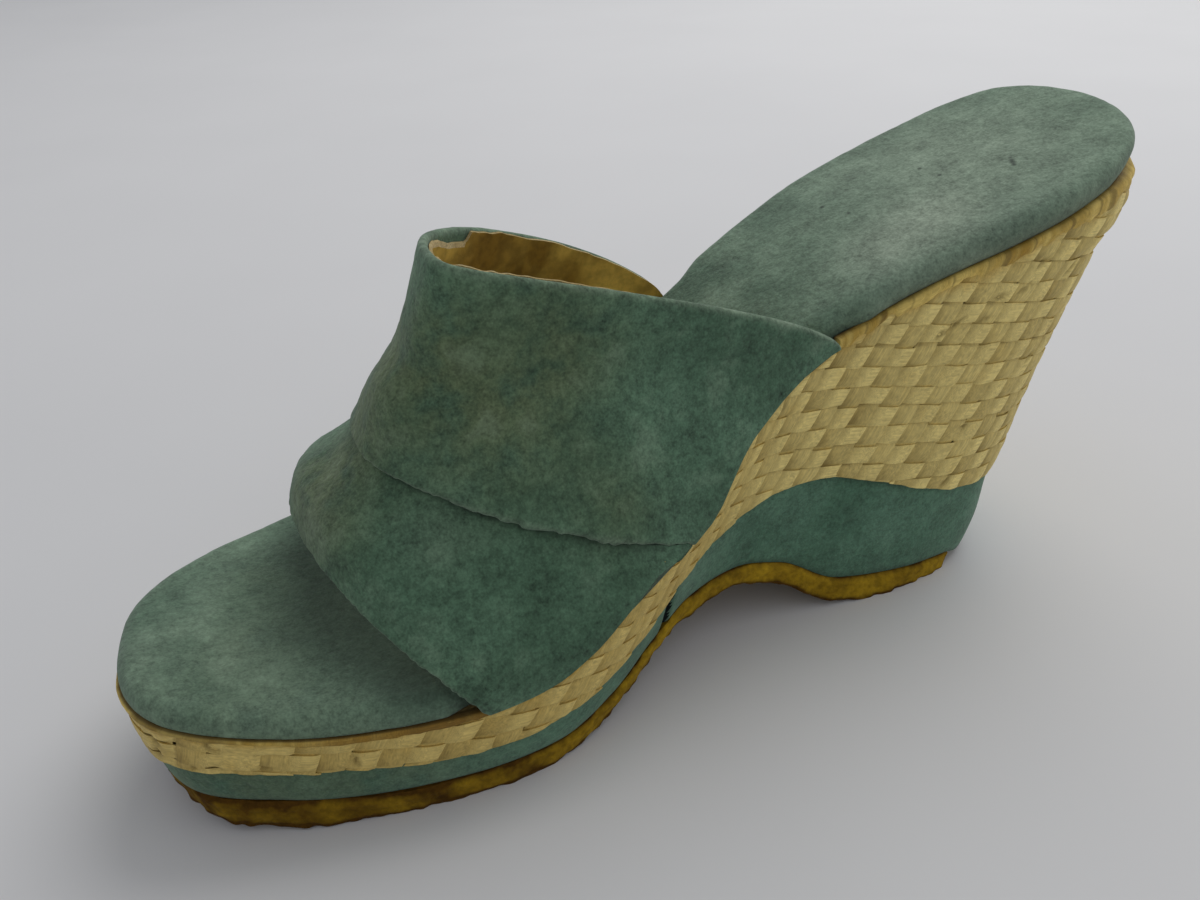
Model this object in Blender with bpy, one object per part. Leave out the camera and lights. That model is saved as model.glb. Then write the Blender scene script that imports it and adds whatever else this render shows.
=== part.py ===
"""Wedge mule for the right foot.

A padded footbed lies on a high wedge wrapped in raffia, over a suede platform and
an amber outsole.  A broad suede upper of two lapped bands spans the forefoot.

Metres, +Z up.  The toe points to -X, the heel to +X and the inner side of the foot
to -Y.  The origin is on the floor, under the middle of the shoe's box.
"""

from collections import namedtuple

import bmesh
import bpy
import numpy as np

MM = 0.001

# Driving dimensions, in millimetres
LENGTH = 231.0          # toe tip to back of heel, measured level, at the wedge's top edge
TREAD_START = 2.4       # the side walls lean in, so the tread is shorter than the top
TREAD_LENGTH = 196.1
TREAD_TAPER = 0.055     # share of its half width that a wall loses on its way to the tread
SEAT_GAP = 0.3          # clearance between one layer and the next
BAND_INSET = 1.0        # the platform's suede lies this far behind the raffia
OUTSOLE_INSET = 0.2
TREAD_BEVEL = 0.6

WALL = 1.9              # thickness of one band of the upper, with its lining
UPPER_INSET = 0.1       # foot of the upper, in from the wedge's top edge
LAP = 0.14              # how far the front band runs on under the rear one, as a share of the upper
STEP = 0.012            # length of the cut edges at the lap, as a share of the upper
LAP_AT_FOOT = 0.25      # share of the lap's thickness that is left at the foot of the upper
LAP_FLARE = 0.16        # share of a rib, from its foot, over which the lap gets its full thickness

FOOTBED_OVERHANG = 0.4  # at the heel the footbed's edge reaches this far past the wedge's top edge
FOOTBED_SETBACK = 1.0   # at the toe it lies this far inside it
FOOTBED_TOE = 4.3       # thickness of the footbed at the toe and at the heel
FOOTBED_HEEL = 8.4
FOOTBED_ROLL = 3.6      # radius of its rolled top edge
FOOTBED_CROWN = 0.8     # rise of its middle line over its edges
TUCK_RAMP = 22.0        # length over which the footbed narrows to pass the upper
TUCK_MARGIN = 2.0       # the ramp ends this far before the upper's edge
LEAN_ROOM = 2.2         # how much more it narrows halfway along the upper, which leans in over it there

# Mesh fineness
STATIONS = 60           # points along each side of the sole
RIB_POINTS = 40         # steps along a rib of the upper, from foot to foot
ROLL_STEPS = 3
OUTLINE_SAMPLES = 4001
SHARP_EDGE = np.radians(35)

# The sole, a row for each section.  station is a share of LENGTH, medial and lateral
# are half widths at the wedge's top edge, and the rest are heights over the floor:
# the tread, and the tops of the outsole, the platform and the wedge.
SoleRow = namedtuple("SoleRow", "station medial lateral tread outsole platform wedge")
SOLE = [
    SoleRow(0.000,  9.0, -9.0,  4.6, 10.6, 17.4, 28.4),
    SoleRow(0.020, 20.7, 12.3,  3.6,  9.7, 16.7, 27.6),
    SoleRow(0.095, 31.2, 28.0,  0.9,  7.9, 14.7, 24.6),
    SoleRow(0.150, 35.2, 33.4,  0.2,  6.5, 13.3, 23.1),
    SoleRow(0.220, 38.8, 38.6,  0.0,  5.5, 11.9, 22.4),
    SoleRow(0.280, 40.7, 42.8,  0.0,  5.1, 11.9, 23.1),
    SoleRow(0.350, 40.5, 44.8,  0.0,  5.2, 14.1, 27.0),
    SoleRow(0.420, 36.4, 40.4,  2.2,  7.8, 19.4, 35.2),
    SoleRow(0.480, 31.3, 34.3,  7.4, 12.9, 27.4, 43.6),
    SoleRow(0.540, 26.5, 29.4, 11.9, 17.2, 31.2, 53.2),
    SoleRow(0.610, 23.6, 26.6, 13.0, 17.4, 34.7, 64.2),
    SoleRow(0.670, 24.5, 27.0, 10.4, 15.1, 36.0, 71.4),
    SoleRow(0.740, 27.4, 28.7,  1.9,  7.4, 32.2, 77.4),
    SoleRow(0.800, 29.5, 29.2,  0.0,  5.7, 28.0, 81.3),
    SoleRow(0.870, 29.9, 28.6,  0.0,  4.4, 24.2, 85.6),
    SoleRow(0.930, 27.3, 26.6,  0.0,  3.6, 22.8, 89.6),
    SoleRow(0.965, 22.4, 22.4,  0.0,  3.3, 22.6, 92.3),
    SoleRow(1.000,  0.0,  0.0,  0.0,  3.2, 22.8, 95.0),
]

# The upper, a row for each rib from the toe opening to the collar.  along is a share of
# the upper.  medial and lateral are where the rib's feet stand, from the toe tip, and crest
# is its highest point.  full and sweep say how a side climbs and how it runs forward on its
# way to the crest: 1 is a plain arch, less is early, more is late.
UpperRow = namedtuple(
    "UpperRow",
    "along medial lateral crest_x crest_y crest_z medial_full lateral_full medial_sweep lateral_sweep")
UPPER = [
    UpperRow(0.00,  57.5,  65.5, 38.4,  -0.8, 45.1, 1.05, 1.00, 1.00, 1.13),
    UpperRow(0.15,  70.0,  77.0, 40.3,  -2.4, 51.7, 1.09, 0.99, 0.96, 1.10),
    UpperRow(0.30,  86.0,  88.0, 46.2,  -4.0, 55.6, 1.14, 0.97, 0.91, 1.06),
    UpperRow(0.45, 104.0,  99.5, 52.5,  -5.5, 60.5, 1.18, 0.96, 0.87, 1.03),
    UpperRow(0.60, 117.0, 109.0, 56.6,  -7.1, 68.8, 1.11, 0.90, 0.98, 1.04),
    UpperRow(0.80, 132.0, 122.0, 62.6,  -9.2, 78.8, 1.01, 0.81, 1.12, 1.04),
    UpperRow(1.00, 145.5, 134.5, 69.4, -11.2, 97.6, 0.92, 0.72, 1.26, 1.05),
]
LAP_EDGE = 0.45         # along: the front edge of the rear band
FRONT_ROWS = 7
REAR_ROWS = 9

# Colour and roughness of each material
Finish = namedtuple("Finish", "colour roughness")
FINISHES = {
    "outsole": Finish((0.42, 0.27, 0.07), 0.70),
    "platform": Finish((0.12, 0.21, 0.17), 0.95),
    "wedge": Finish((0.68, 0.56, 0.33), 0.75),
    "insole": Finish((0.13, 0.22, 0.18), 0.95),
    "upper": Finish((0.10, 0.18, 0.14), 0.95),
}


def hermite(knots, values, slopes, at):
    """Values of the cubic curve with the given values and slopes at its knots."""
    span = np.clip(np.searchsorted(knots, at) - 1, 0, len(knots) - 2)
    step = knots[span + 1] - knots[span]
    t = (at - knots[span]) / step
    start = (1 + 2 * t) * (1 - t) ** 2 * values[span] + t * (1 - t) ** 2 * step * slopes[span]
    end = t ** 2 * (3 - 2 * t) * values[span + 1] + t ** 2 * (t - 1) * step * slopes[span + 1]
    return start + end


def column_curve(rows, key, column):
    """Curve through one column of a table, with no humps between its rows."""
    knots = np.array([getattr(row, key) for row in rows])
    values = np.array([getattr(row, column) for row in rows])
    step = np.diff(knots)
    rise = np.diff(values) / step
    before = rise[:-1]
    after = rise[1:]
    turning = before * after <= 0
    weight_before = 2 * step[1:] + step[:-1]
    weight_after = step[1:] + 2 * step[:-1]
    safe_before = np.where(turning, 1.0, before)
    safe_after = np.where(turning, 1.0, after)
    mean = (weight_before + weight_after) / (weight_before / safe_before + weight_after / safe_after)
    slopes = np.concatenate(([rise[0]], np.where(turning, 0.0, mean), [rise[-1]]))
    return lambda at: hermite(knots, values, slopes, np.asarray(at, dtype=float))


def smooth_step(value):
    """0 below 0, 1 above 1 and a soft ramp between."""
    value = np.clip(value, 0.0, 1.0)
    return value * value * (3 - 2 * value)


TREAD_Z = column_curve(SOLE, "station", "tread")
OUTSOLE_Z = column_curve(SOLE, "station", "outsole")
PLATFORM_Z = column_curve(SOLE, "station", "platform")
WEDGE_Z = column_curve(SOLE, "station", "wedge")


def side_outlines():
    """Plan of the wedge's top edge, as two fine polylines from toe to heel: medial, lateral."""
    medial = [(row.station * LENGTH, -row.medial) for row in SOLE]
    lateral = [(row.station * LENGTH, row.lateral) for row in SOLE[-2:0:-1]]
    loop = np.array(medial + lateral + medial[:1])
    step = np.linalg.norm(np.diff(loop, axis=0), axis=1)
    rise = np.diff(loop, axis=0) / step[:, None]
    step_before = np.roll(step, 1)[:, None]
    slopes = (step[:, None] * np.roll(rise, 1, axis=0) + step_before * rise) / (step[:, None] + step_before)
    slopes = np.vstack((slopes, slopes[:1]))
    knots = np.concatenate(([0.0], np.cumsum(step)))
    at = np.linspace(0.0, knots[-1], OUTLINE_SAMPLES)
    fine = np.column_stack([hermite(knots, loop[:, axis], slopes[:, axis], at) for axis in (0, 1)])
    heel = np.argmax(fine[:, 0])
    return fine[:heel + 1], fine[:heel - 1:-1]


MEDIAL_LINE, LATERAL_LINE = side_outlines()


def side_y(x, line):
    """Where a side of the wedge's top edge runs at a distance x from the toe tip."""
    return np.interp(x, line[:, 0], line[:, 1])


def station_shares():
    """Stations along the sole, close together at toe and heel."""
    angles = np.pi * (np.arange(STATIONS) + 0.5) / STATIONS
    return (1 - np.cos(angles)) / 2


def inset_plan(plan, inset):
    """Move a plan loop inwards by an amount that may differ from point to point."""
    tangent = np.roll(plan, -1, axis=0) - np.roll(plan, 1, axis=0)
    inward = np.column_stack((-tangent[:, 1], tangent[:, 0]))
    inward /= np.linalg.norm(inward, axis=1)[:, None]
    return plan + inward * np.broadcast_to(inset, len(plan))[:, None]


def top_plan():
    """Loop along the wedge's top edge: medial side to the heel, lateral side back to the toe."""
    x = station_shares() * LENGTH
    medial = np.column_stack((x, side_y(x, MEDIAL_LINE)))
    lateral = np.column_stack((x, side_y(x, LATERAL_LINE)))
    return np.vstack((medial, lateral[::-1]))


def side_ring(height_curve, lift=0.0, inset=0.0):
    """Loop round the sole's side wall at the heights of a curve."""
    shares = station_shares()
    shares = np.concatenate((shares, shares[::-1]))
    height = height_curve(shares) + lift
    top = WEDGE_Z(shares)
    down = (top - height) / (top - TREAD_Z(shares))
    plan = top_plan()
    plan[:, 0] += down * (TREAD_START + TREAD_LENGTH * shares - LENGTH * shares)
    plan[:, 1] *= 1 - TREAD_TAPER * down
    moved = inset_plan(plan, inset)
    shares += (moved[:, 0] - plan[:, 0]) / (LENGTH + down * (TREAD_LENGTH - LENGTH))
    return np.column_stack((moved, height_curve(shares) + lift))


def outsole_rings():
    """Tread with a small bevel, side wall, and top."""
    return [
        side_ring(TREAD_Z, inset=OUTSOLE_INSET + TREAD_BEVEL),
        side_ring(TREAD_Z, lift=TREAD_BEVEL, inset=OUTSOLE_INSET),
        side_ring(OUTSOLE_Z, inset=OUTSOLE_INSET),
    ]


def platform_rings():
    """The suede layer between outsole and wedge."""
    return [
        side_ring(OUTSOLE_Z, lift=SEAT_GAP, inset=BAND_INSET),
        side_ring(PLATFORM_Z, inset=BAND_INSET),
    ]


def wedge_rings():
    """The raffia wedge, from the platform up to the footbed."""
    return [side_ring(PLATFORM_Z, lift=SEAT_GAP), side_ring(WEDGE_Z)]


def footbed_inset(plan):
    """Distance of the footbed's edge from the wedge's top edge: more where the upper stands."""
    half = len(plan) // 2
    tuck = UPPER_INSET + WALL + SEAT_GAP
    inset = np.empty(len(plan))
    for points, column in ((slice(0, half), "medial"), (slice(half, None), "lateral")):
        x = plan[points, 0]
        front = getattr(UPPER[0], column) - TUCK_MARGIN
        rear = getattr(UPPER[-1], column) + TUCK_MARGIN
        free = np.where(x < front, FOOTBED_SETBACK, -FOOTBED_OVERHANG)
        beside = smooth_step((x - front) / TUCK_RAMP + 1) - smooth_step((x - rear) / TUCK_RAMP)
        under = np.clip((x - front) / (rear - front), 0.0, 1.0)
        inset[points] = free + (tuck - free) * beside + LEAN_ROOM * 4 * under * (1 - under)
    return inset


def footbed_rings():
    """The padded footbed: a straight side and a rolled top edge."""
    edge = inset_plan(top_plan(), footbed_inset(top_plan()))

    def ring(inset, lift_share, drop):
        plan = inset_plan(edge, inset)
        share = plan[:, 0] / LENGTH
        thickness = FOOTBED_TOE + (FOOTBED_HEEL - FOOTBED_TOE) * share
        height = WEDGE_Z(share) + SEAT_GAP + lift_share * (thickness - SEAT_GAP - drop)
        return np.column_stack((plan, height))

    rings = [ring(0.0, 0.0, 0.0), ring(0.0, 1.0, FOOTBED_ROLL)]
    for step in range(1, ROLL_STEPS + 1):
        angle = np.pi / 2 * step / ROLL_STEPS
        inset = FOOTBED_ROLL * (1 - np.cos(angle))
        rings.append(ring(inset, 1.0, FOOTBED_ROLL * (1 - np.sin(angle))))
    return rings


RIB = {column: column_curve(UPPER, "along", column) for column in UpperRow._fields[1:]}


def rib_half(along, rise, side):
    """Points of one side of the upper's inner form.  rise runs from 0 at the foot to 1 at the crest."""
    line, sign = (MEDIAL_LINE, -1) if side == "medial" else (LATERAL_LINE, 1)
    foot_x = RIB[side](along)
    foot_y = side_y(foot_x, line) - sign * (UPPER_INSET + WALL)
    foot_z = WEDGE_Z(foot_x / LENGTH) + SEAT_GAP
    angle = rise * np.pi / 2
    climb = np.sin(angle) ** RIB[side + "_full"](along)
    sweep = np.sin(angle) ** RIB[side + "_sweep"](along)
    x = foot_x + (RIB["crest_x"](along) - foot_x) * sweep
    y = foot_y + (RIB["crest_y"](along) - foot_y) * (1 - np.cos(angle))
    z = foot_z + (RIB["crest_z"](along) - foot_z) * climb
    return np.stack((x, y, z), axis=-1)


def upper_form(along, around):
    """The upper's inner form.  around runs from 0 at the medial foot to 1 at the lateral foot."""
    along, around = np.broadcast_arrays(np.asarray(along, float), np.asarray(around, float))
    medial = rib_half(along, np.clip(2 * around, 0.0, 1.0), "medial")
    lateral = rib_half(along, np.clip(2 - 2 * around, 0.0, 1.0), "lateral")
    return np.where((around <= 0.5)[..., None], medial, lateral)


def upper_normals(along, around):
    """Outward unit normals of the upper's inner form."""
    reach = 1e-3
    inside = np.clip(around, 2 * reach, 1 - 2 * reach)
    lengthwise = upper_form(along + reach, inside) - upper_form(along - reach, inside)
    sideways = upper_form(along, inside + reach) - upper_form(along, inside - reach)
    normal = np.cross(lengthwise, sideways)
    return normal / np.linalg.norm(normal, axis=-1, keepdims=True)


def upper_skin(along, around, lift):
    """One skin of the upper, lifted off its inner form and standing level on the wedge."""
    points = upper_form(along, around) + upper_normals(along, around) * lift[..., None]
    for foot in (0, -1):
        points[foot, :, 2] = WEDGE_Z(points[foot, :, 0] / LENGTH) + SEAT_GAP
    return points


def upper_loops():
    """Loops round the wall, one for each place on the ribs: along its outside, back along its inside."""
    half_step = STEP / 2
    front = np.linspace(0.0, LAP_EDGE - half_step, FRONT_ROWS)
    lapped = np.array([LAP_EDGE + half_step, LAP_EDGE + LAP - half_step])
    rear = np.linspace(LAP_EDGE + LAP + half_step, 1.0, REAR_ROWS)
    along = np.concatenate((front, lapped, rear))
    around = np.linspace(0.0, 1.0, RIB_POINTS + 1)
    along, around = np.meshgrid(along, around)
    flare = smooth_step(np.minimum(around, 1 - around) / LAP_FLARE)
    lap = WALL * (LAP_AT_FOOT + (1 - LAP_AT_FOOT) * flare)
    inner = upper_skin(along, around, np.where(along > LAP_EDGE + LAP, lap, 0.0))
    outer = upper_skin(along, around, np.where(along > LAP_EDGE, lap, 0.0) + WALL)
    return [np.vstack((outside, inside[::-1])) for outside, inside in zip(outer, inner)]


def cap(bm, loop):
    """Close an end loop with faces from each point to its opposite one."""
    for i in range(len(loop) // 2 - 1):
        bm.faces.new((loop[i], loop[i + 1], loop[-2 - i], loop[-1 - i]))


def crowned_cap(bm, loop, crown):
    """Close an end loop over a middle line, which is raised most where the loop is widest."""
    pairs = [(loop[i], loop[-1 - i]) for i in range(len(loop) // 2)]
    widest = max((left.co - right.co).length for left, right in pairs)
    middle = []
    for left, right in pairs[1:-1]:
        vert = bm.verts.new((left.co + right.co) / 2)
        vert.co.z += crown * MM * (left.co - right.co).length / widest
        middle.append(vert)
    for i in range(len(middle) - 1):
        for side in (0, 1):
            bm.faces.new((pairs[i + 1][side], pairs[i + 2][side], middle[i + 1], middle[i]))
    for tip, beside, vert in ((pairs[0], pairs[1], middle[0]), (pairs[-1], pairs[-2], middle[-1])):
        bm.faces.new((*tip, beside[1], vert, beside[0]))


def loft(name, loops, origin, collection, crown=0.0):
    """Closed solid through the loops, capped at both ends."""
    bm = bmesh.new()
    grid = [[bm.verts.new((point - origin) * MM) for point in loop] for loop in loops]
    count = len(grid[0])
    for lower, upper in zip(grid, grid[1:]):
        for i in range(count):
            j = (i + 1) % count
            bm.faces.new((lower[i], lower[j], upper[j], upper[i]))
    cap(bm, grid[0])
    if crown:
        crowned_cap(bm, grid[-1], crown)
    else:
        cap(bm, grid[-1])
    bmesh.ops.recalc_face_normals(bm, faces=bm.faces)
    mesh = bpy.data.meshes.new(name)
    bm.to_mesh(mesh)
    bm.free()
    mesh.shade_smooth()
    mesh.set_sharp_from_angle(angle=SHARP_EDGE)
    mesh.materials.append(material(name))
    collection.objects.link(bpy.data.objects.new(name, mesh))


def material(name):
    """Plain material of one sub-part."""
    finish = FINISHES[name]
    made = bpy.data.materials.new(name)
    made.use_nodes = True
    shader = made.node_tree.nodes["Principled BSDF"]
    shader.inputs["Base Color"].default_value = (*finish.colour, 1.0)
    shader.inputs["Roughness"].default_value = finish.roughness
    shader.inputs["Metallic"].default_value = 0.0
    return made


def main():
    for thing in list(bpy.data.objects):
        bpy.data.objects.remove(thing, do_unlink=True)
    collection = bpy.data.collections.new("wedge_mule")
    bpy.context.scene.collection.children.link(collection)
    solids = {
        "outsole": outsole_rings(),
        "platform": platform_rings(),
        "wedge": wedge_rings(),
        "insole": footbed_rings(),
        "upper": upper_loops(),
    }
    points = np.vstack([loop for loops in solids.values() for loop in loops])
    middle = (points.min(axis=0) + points.max(axis=0)) / 2
    origin = np.array((middle[0], middle[1], 0.0))
    for name, loops in solids.items():
        loft(name, loops, origin, collection, crown=FOOTBED_CROWN if name == "insole" else 0.0)


main()
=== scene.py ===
"""Looks of the wedge mule: worn suede, woven raffia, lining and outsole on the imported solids.

Lengths are the shoe's own millimetres: x from the toe tip to the heel, y negative on the inner side of
the foot, z up from the floor.  Pieces are placed in the frame's metres.
"""

from collections import namedtuple

import bmesh
import bpy
import numpy as np
from mathutils import Matrix, Vector
from numpy.linalg import norm


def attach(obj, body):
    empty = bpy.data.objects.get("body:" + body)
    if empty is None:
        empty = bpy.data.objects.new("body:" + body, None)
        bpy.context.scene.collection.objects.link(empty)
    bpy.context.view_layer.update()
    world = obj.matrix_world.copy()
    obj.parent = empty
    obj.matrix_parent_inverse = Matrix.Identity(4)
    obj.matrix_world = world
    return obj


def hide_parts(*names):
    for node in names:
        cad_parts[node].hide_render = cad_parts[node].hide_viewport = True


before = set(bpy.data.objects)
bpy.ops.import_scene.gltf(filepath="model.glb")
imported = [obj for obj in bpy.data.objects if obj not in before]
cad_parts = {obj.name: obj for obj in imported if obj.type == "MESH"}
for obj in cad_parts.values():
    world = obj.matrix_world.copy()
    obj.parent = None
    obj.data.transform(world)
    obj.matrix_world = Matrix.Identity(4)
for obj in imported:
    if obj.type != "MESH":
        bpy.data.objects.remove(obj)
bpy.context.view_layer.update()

MM = 0.001
ORIGIN = np.array((115.6998, 1.9122, 0.0))      # the frame's origin, in the shoe's millimetres

# Sizes of the solids
LENGTH = 231.0
TREAD_START = 2.4
TREAD_LENGTH = 196.1
TREAD_TAPER = 0.055
SEAT_GAP = 0.3
BAND_INSET = 1.0
OUTSOLE_INSET = 0.2
WALL = 1.9
UPPER_INSET = 0.1
LAP_EDGE = 0.45
LAP = 0.14
LAP_AT_FOOT = 0.25
LAP_FLARE = 0.16
FOOTBED_TOE = 4.3
FOOTBED_ROLL = 3.6
FOOTBED_CROWN = 0.8
TUCK_MARGIN = 1.0
LEAN_ROOM = 2.2

SoleRow = namedtuple("SoleRow", "station medial lateral tread outsole platform wedge")
SOLE = [SoleRow(*row) for row in (
    (0.000,  9.0, -9.0,  4.6, 10.6, 17.4, 28.4),
    (0.020, 20.7, 12.3,  3.6,  9.7, 16.7, 27.6),
    (0.095, 31.2, 28.0,  0.9,  7.9, 14.7, 24.6),
    (0.150, 35.2, 33.4,  0.2,  6.5, 13.3, 23.1),
    (0.220, 38.8, 38.6,  0.0,  5.5, 11.9, 22.4),
    (0.280, 40.7, 42.8,  0.0,  5.1, 11.9, 23.1),
    (0.350, 40.5, 44.8,  0.0,  5.2, 14.1, 27.0),
    (0.420, 36.4, 40.4,  2.2,  7.8, 19.4, 35.2),
    (0.480, 31.3, 34.3,  7.4, 12.9, 27.4, 43.6),
    (0.540, 26.5, 29.4, 11.9, 17.2, 31.2, 53.2),
    (0.610, 23.6, 26.6, 13.0, 17.4, 34.7, 64.2),
    (0.670, 24.5, 27.0, 10.4, 15.1, 36.0, 71.4),
    (0.740, 27.4, 28.7,  1.9,  7.4, 32.2, 77.4),
    (0.800, 29.5, 29.2,  0.0,  5.7, 28.0, 81.3),
    (0.870, 29.9, 28.6,  0.0,  4.4, 24.2, 85.6),
    (0.930, 27.3, 26.6,  0.0,  3.6, 22.8, 89.6),
    (0.965, 22.4, 22.4,  0.0,  3.3, 22.6, 92.3),
    (1.000,  0.0,  0.0,  0.0,  3.2, 22.8, 95.0),
)]

UpperRow = namedtuple(
    "UpperRow",
    "along medial lateral crest_x crest_y crest_z medial_full lateral_full medial_sweep lateral_sweep")
UPPER = [UpperRow(*row) for row in (
    (0.00,  57.5,  65.5, 38.4,  -0.8, 45.1, 1.05, 1.00, 1.00, 1.13),
    (0.15,  70.0,  77.0, 40.3,  -2.4, 51.7, 1.09, 0.99, 0.96, 1.10),
    (0.30,  86.0,  88.0, 46.2,  -4.0, 55.6, 1.14, 0.97, 0.91, 1.06),
    (0.45, 104.0,  99.5, 52.5,  -5.5, 60.5, 1.18, 0.96, 0.87, 1.03),
    (0.60, 117.0, 109.0, 56.6,  -7.1, 68.8, 1.11, 0.90, 0.98, 1.04),
    (0.80, 132.0, 122.0, 62.6,  -9.2, 78.8, 1.01, 0.81, 1.12, 1.04),
    (1.00, 145.5, 134.5, 69.4, -11.2, 97.6, 0.92, 0.72, 1.26, 1.05),
)]

# Fineness of the meshes
OUTLINE_SAMPLES = 4001
STATIONS = 420          # points along each side of the sole
WALL_STATIONS = 900     # points along each side of the line that carries the weave
SOLE_ROWS = 14          # rows up the wall of the outsole and of the platform
CORE_ROWS = 6
ROLL_STEPS = 10         # rows round the footbed's rolled edge
FOOTBED_LINES = 72      # lines along the footbed's top
RIB_STEPS = 270         # steps along a rib of the upper, from foot to foot
BAND_STEPS = 115        # steps along a band of the upper, from its front edge to its rear edge
RIM_STEPS = 8
LINING_STEPS = 80
STRIP_STEP = 0.62       # length of a step along a raffia strip
STRIP_POINTS = 6        # points across its face
EDGE_SAMPLES = 1100     # steps round the shoe of the strip over the raffia's top edge

# Soft ramps along the shoe: the x where each starts and the x where it is complete
TOE_RAMP = (75.0, 35.0)
TOE_DIRT_AND_SHADE_RAMP = (95.0, 45.0)
AMBER_RAMP = (18.0, 32.0)
LINING_RAMP = (82.0, 66.0)
COVERED_RAMP = (105.0, 60.0)
CARRY_RAMP = (120.0, 105.0)
BINDING_RAMP = (100.0, 130.0)
GLUE_RAMP = (110.0, 140.0)
DIRT_AND_SHADE_RAMP = (135.0, 170.0)
TUCK_RAMP = (140.0, 165.0)
SWELL_RAMP = (195.0, 220.0)
BACK_RAMP = (208.0, 226.0)
HEEL_END_RAMP = (209.0, 217.0)

# The footbed past its solid: it covers the gap beside the upper, and its lower edge draws in at the heel
COVER_TOE_MEDIAL = 0.2
COVER_TOE_LATERAL = -0.3
COVER_TOE_REACH = 4.0
COVER_HEEL = -0.1
COVER_RAMP = 7.0
COVER_HEEL_THICK = 7.7
HEEL_TUCK = 1.3
BACK_TUCK = 1.0         # how much farther it draws in at the heel's back
OPENING_POINTS = 200    # points on the front edge of the upper, which shades the footbed
# Painted shadow of the upper on the footbed, ragged by lumps, with a deeper band near the upper's front edge
SHADOW_LUMPS = (0.45, 9.0)
SHADOW, SHADOW_REACH = 0.8, 15.0
DEEP_SHADOW, DEEP_SHADOW_REACH = 0.45, 8.0
DIRT_AND_SHADE_FADE = (9, 3)    # rows of the footbed's edge over which its dirt and painted shade fade
DIRT_AND_SHADE_DARK = 0.28
DIRT_AND_SHADE_OLIVE = 0.6
FOOTBED_LUMPS = ((0.12, 12.0), (0.06, 4.0), (0.06, 1.6))
FOOTBED_WALL = [(0.6, 1.0, 0.0), (0.15, 1.0, 0.05), (0.0, 0.6, 0.3), (0.0, 0.2, 0.65)]   # inset, tuck, climb

# The outsole: its lower and upper seams, its rough wall and its dark edges
OUTSOLE_DROP = 0.5      # how much lower the outsole's top edge lies at the toe
ARCH_DROP = 0.8         # how much lower the outsole lies where it climbs to the arch
ARCH_X = 107.0
ARCH_WIDE = 9.0
UNDER_RIM = 3.0
UNDER_DARK = 0.3
OUTSOLE_LUMPS = ((0.2, 1.6), (0.25, 6.0))
TREAD_RAGS = (0.45, 1.9)
TREAD_SET_IN = 0.1
TREAD_REACH = 0.15      # share of the wall's height that the ragged lower edge takes
SEAM_REACH = (0.78, 1.0)
SEAM_LUMPS = (0.15, 3.0)
DIRT_LUMPS = (0.4, 4.0)
PLAIN_DIRT = 0.3
# Darker outsole towards the toe: dirt and painted shade
TOE_DIRT_AND_SHADE = 0.55
LOW_DIRT, LOW_DIRT_REACH = 0.85, 0.13
GLUE_DIRT, GLUE_DIRT_REACH = 0.55, 0.09

# The platform: its rounded band, and the slit where the ends of its suede meet on the inner side
SUEDE_CARRY = 2.0       # how far the platform's suede runs up behind the raffia's lower edge
BAND_BULGE = 0.35
BAND_SET_IN = 0.25
BAND_LUMPS = (0.12, 9.0)
# Darker edges of the band: a line at its seam with the outsole, and painted shade along its top edge under the raffia
BAND_DARK_LOW = 0.45
BAND_PAINTED_SHADE_TOP = 0.35
SLIT_X = 103.0
SLIT_Z = 20.0
SLIT_LEAN = 0.12
SLIT_DEEP = 1.5
SLIT_HALF = 0.8
SLIT_SHOWS = 0.4

# The back of the heel: the platform stands out over the outsole, which is set in and ends lower
HEEL_OUT = 1.3
HEEL_IN = 1.7
HEEL_LOW = 1.4
HEEL_CORNER = 220.0
HEEL_CORNER_WIDE = 10.0

# The tip of the toe: its middle, its radius, and how far raffia and suede stand out there and the outsole in
TIP = (1.5, -15.0)
TIP_RADIUS = 9.0
TIP_OUT = 0.9
TIP_SUEDE_OUT = 0.8
TIP_OUTER = (2.0, 3.0)      # beside it, on the outer side, the raffia draws in under the footbed
TIP_OUTER_IN = 0.9
TIP_IN = 1.0

# The raffia weave: straight rows that fall towards the heel, and warp strips that lean to it
ROW_PITCH = 4.65
ROW_FALL = 0.16         # fall of a row for each millimetre towards the heel
ROW_FIRST = 15.78       # lower edge of the first row, as its height at the toe tip
ROW_COUNT = 25
WARP_COUNT = 96
WARP_LEAN = 0.27        # how far a warp strip runs on along the wall for each millimetre of height
WARP_FIRST = 1.37       # start of the first warp strip along the wall, at WARP_HEIGHT
WARP_HEIGHT = 64.6
TOE_SLIP = 0.5          # how far the warp strips have slipped at the toe, in strips
TOE_SLIP_AT = 16.0
TOE_SLIP_WIDE = 12.0
STRIP_THICK = 0.4
STRIP_CROWN = 0.10
STRIP_WAVE = 0.32       # how far a strip swings out of the wall and into it
WEFT_WIDTH = 0.92       # share of a row that its weft strip covers
WEFT_RISE = (0.40, 4.0)     # where a weft strip turns up between two warp strips, and how steeply
WEFT_FALL = (0.60, 9.0)
FALL_SHIFT = 0.12
WARP_TURN = (0.5, 5.0)
WARP_TUCK = 0.35        # how far a warp strip's edge dips under the end of a float
SETTLE = 0.6            # how much flatter the strips lie at the raffia's lower edge
SETTLE_REACH = 1.1
CUT_SPREAD = 0.02       # keeps the points of a strip apart where an edge of the wall cuts it
CUT_MARGIN = 0.5        # how much of a row has to show for its strip to be made
SHORTEST_RUN = 4
CORE_INSET = 1.5
# Tones of the strips: the weft floats are painted lighter and the warp strips darker, painted light and shade of the
# weave's relief, with a random spread from strip to strip
TONE_MIDDLE = 0.6
WEFT_TONE = 0.9
WEFT_TONE_SPREAD = 0.35
WARP_TONE = 0.36
WARP_TONE_SPREAD = 0.4
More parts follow.
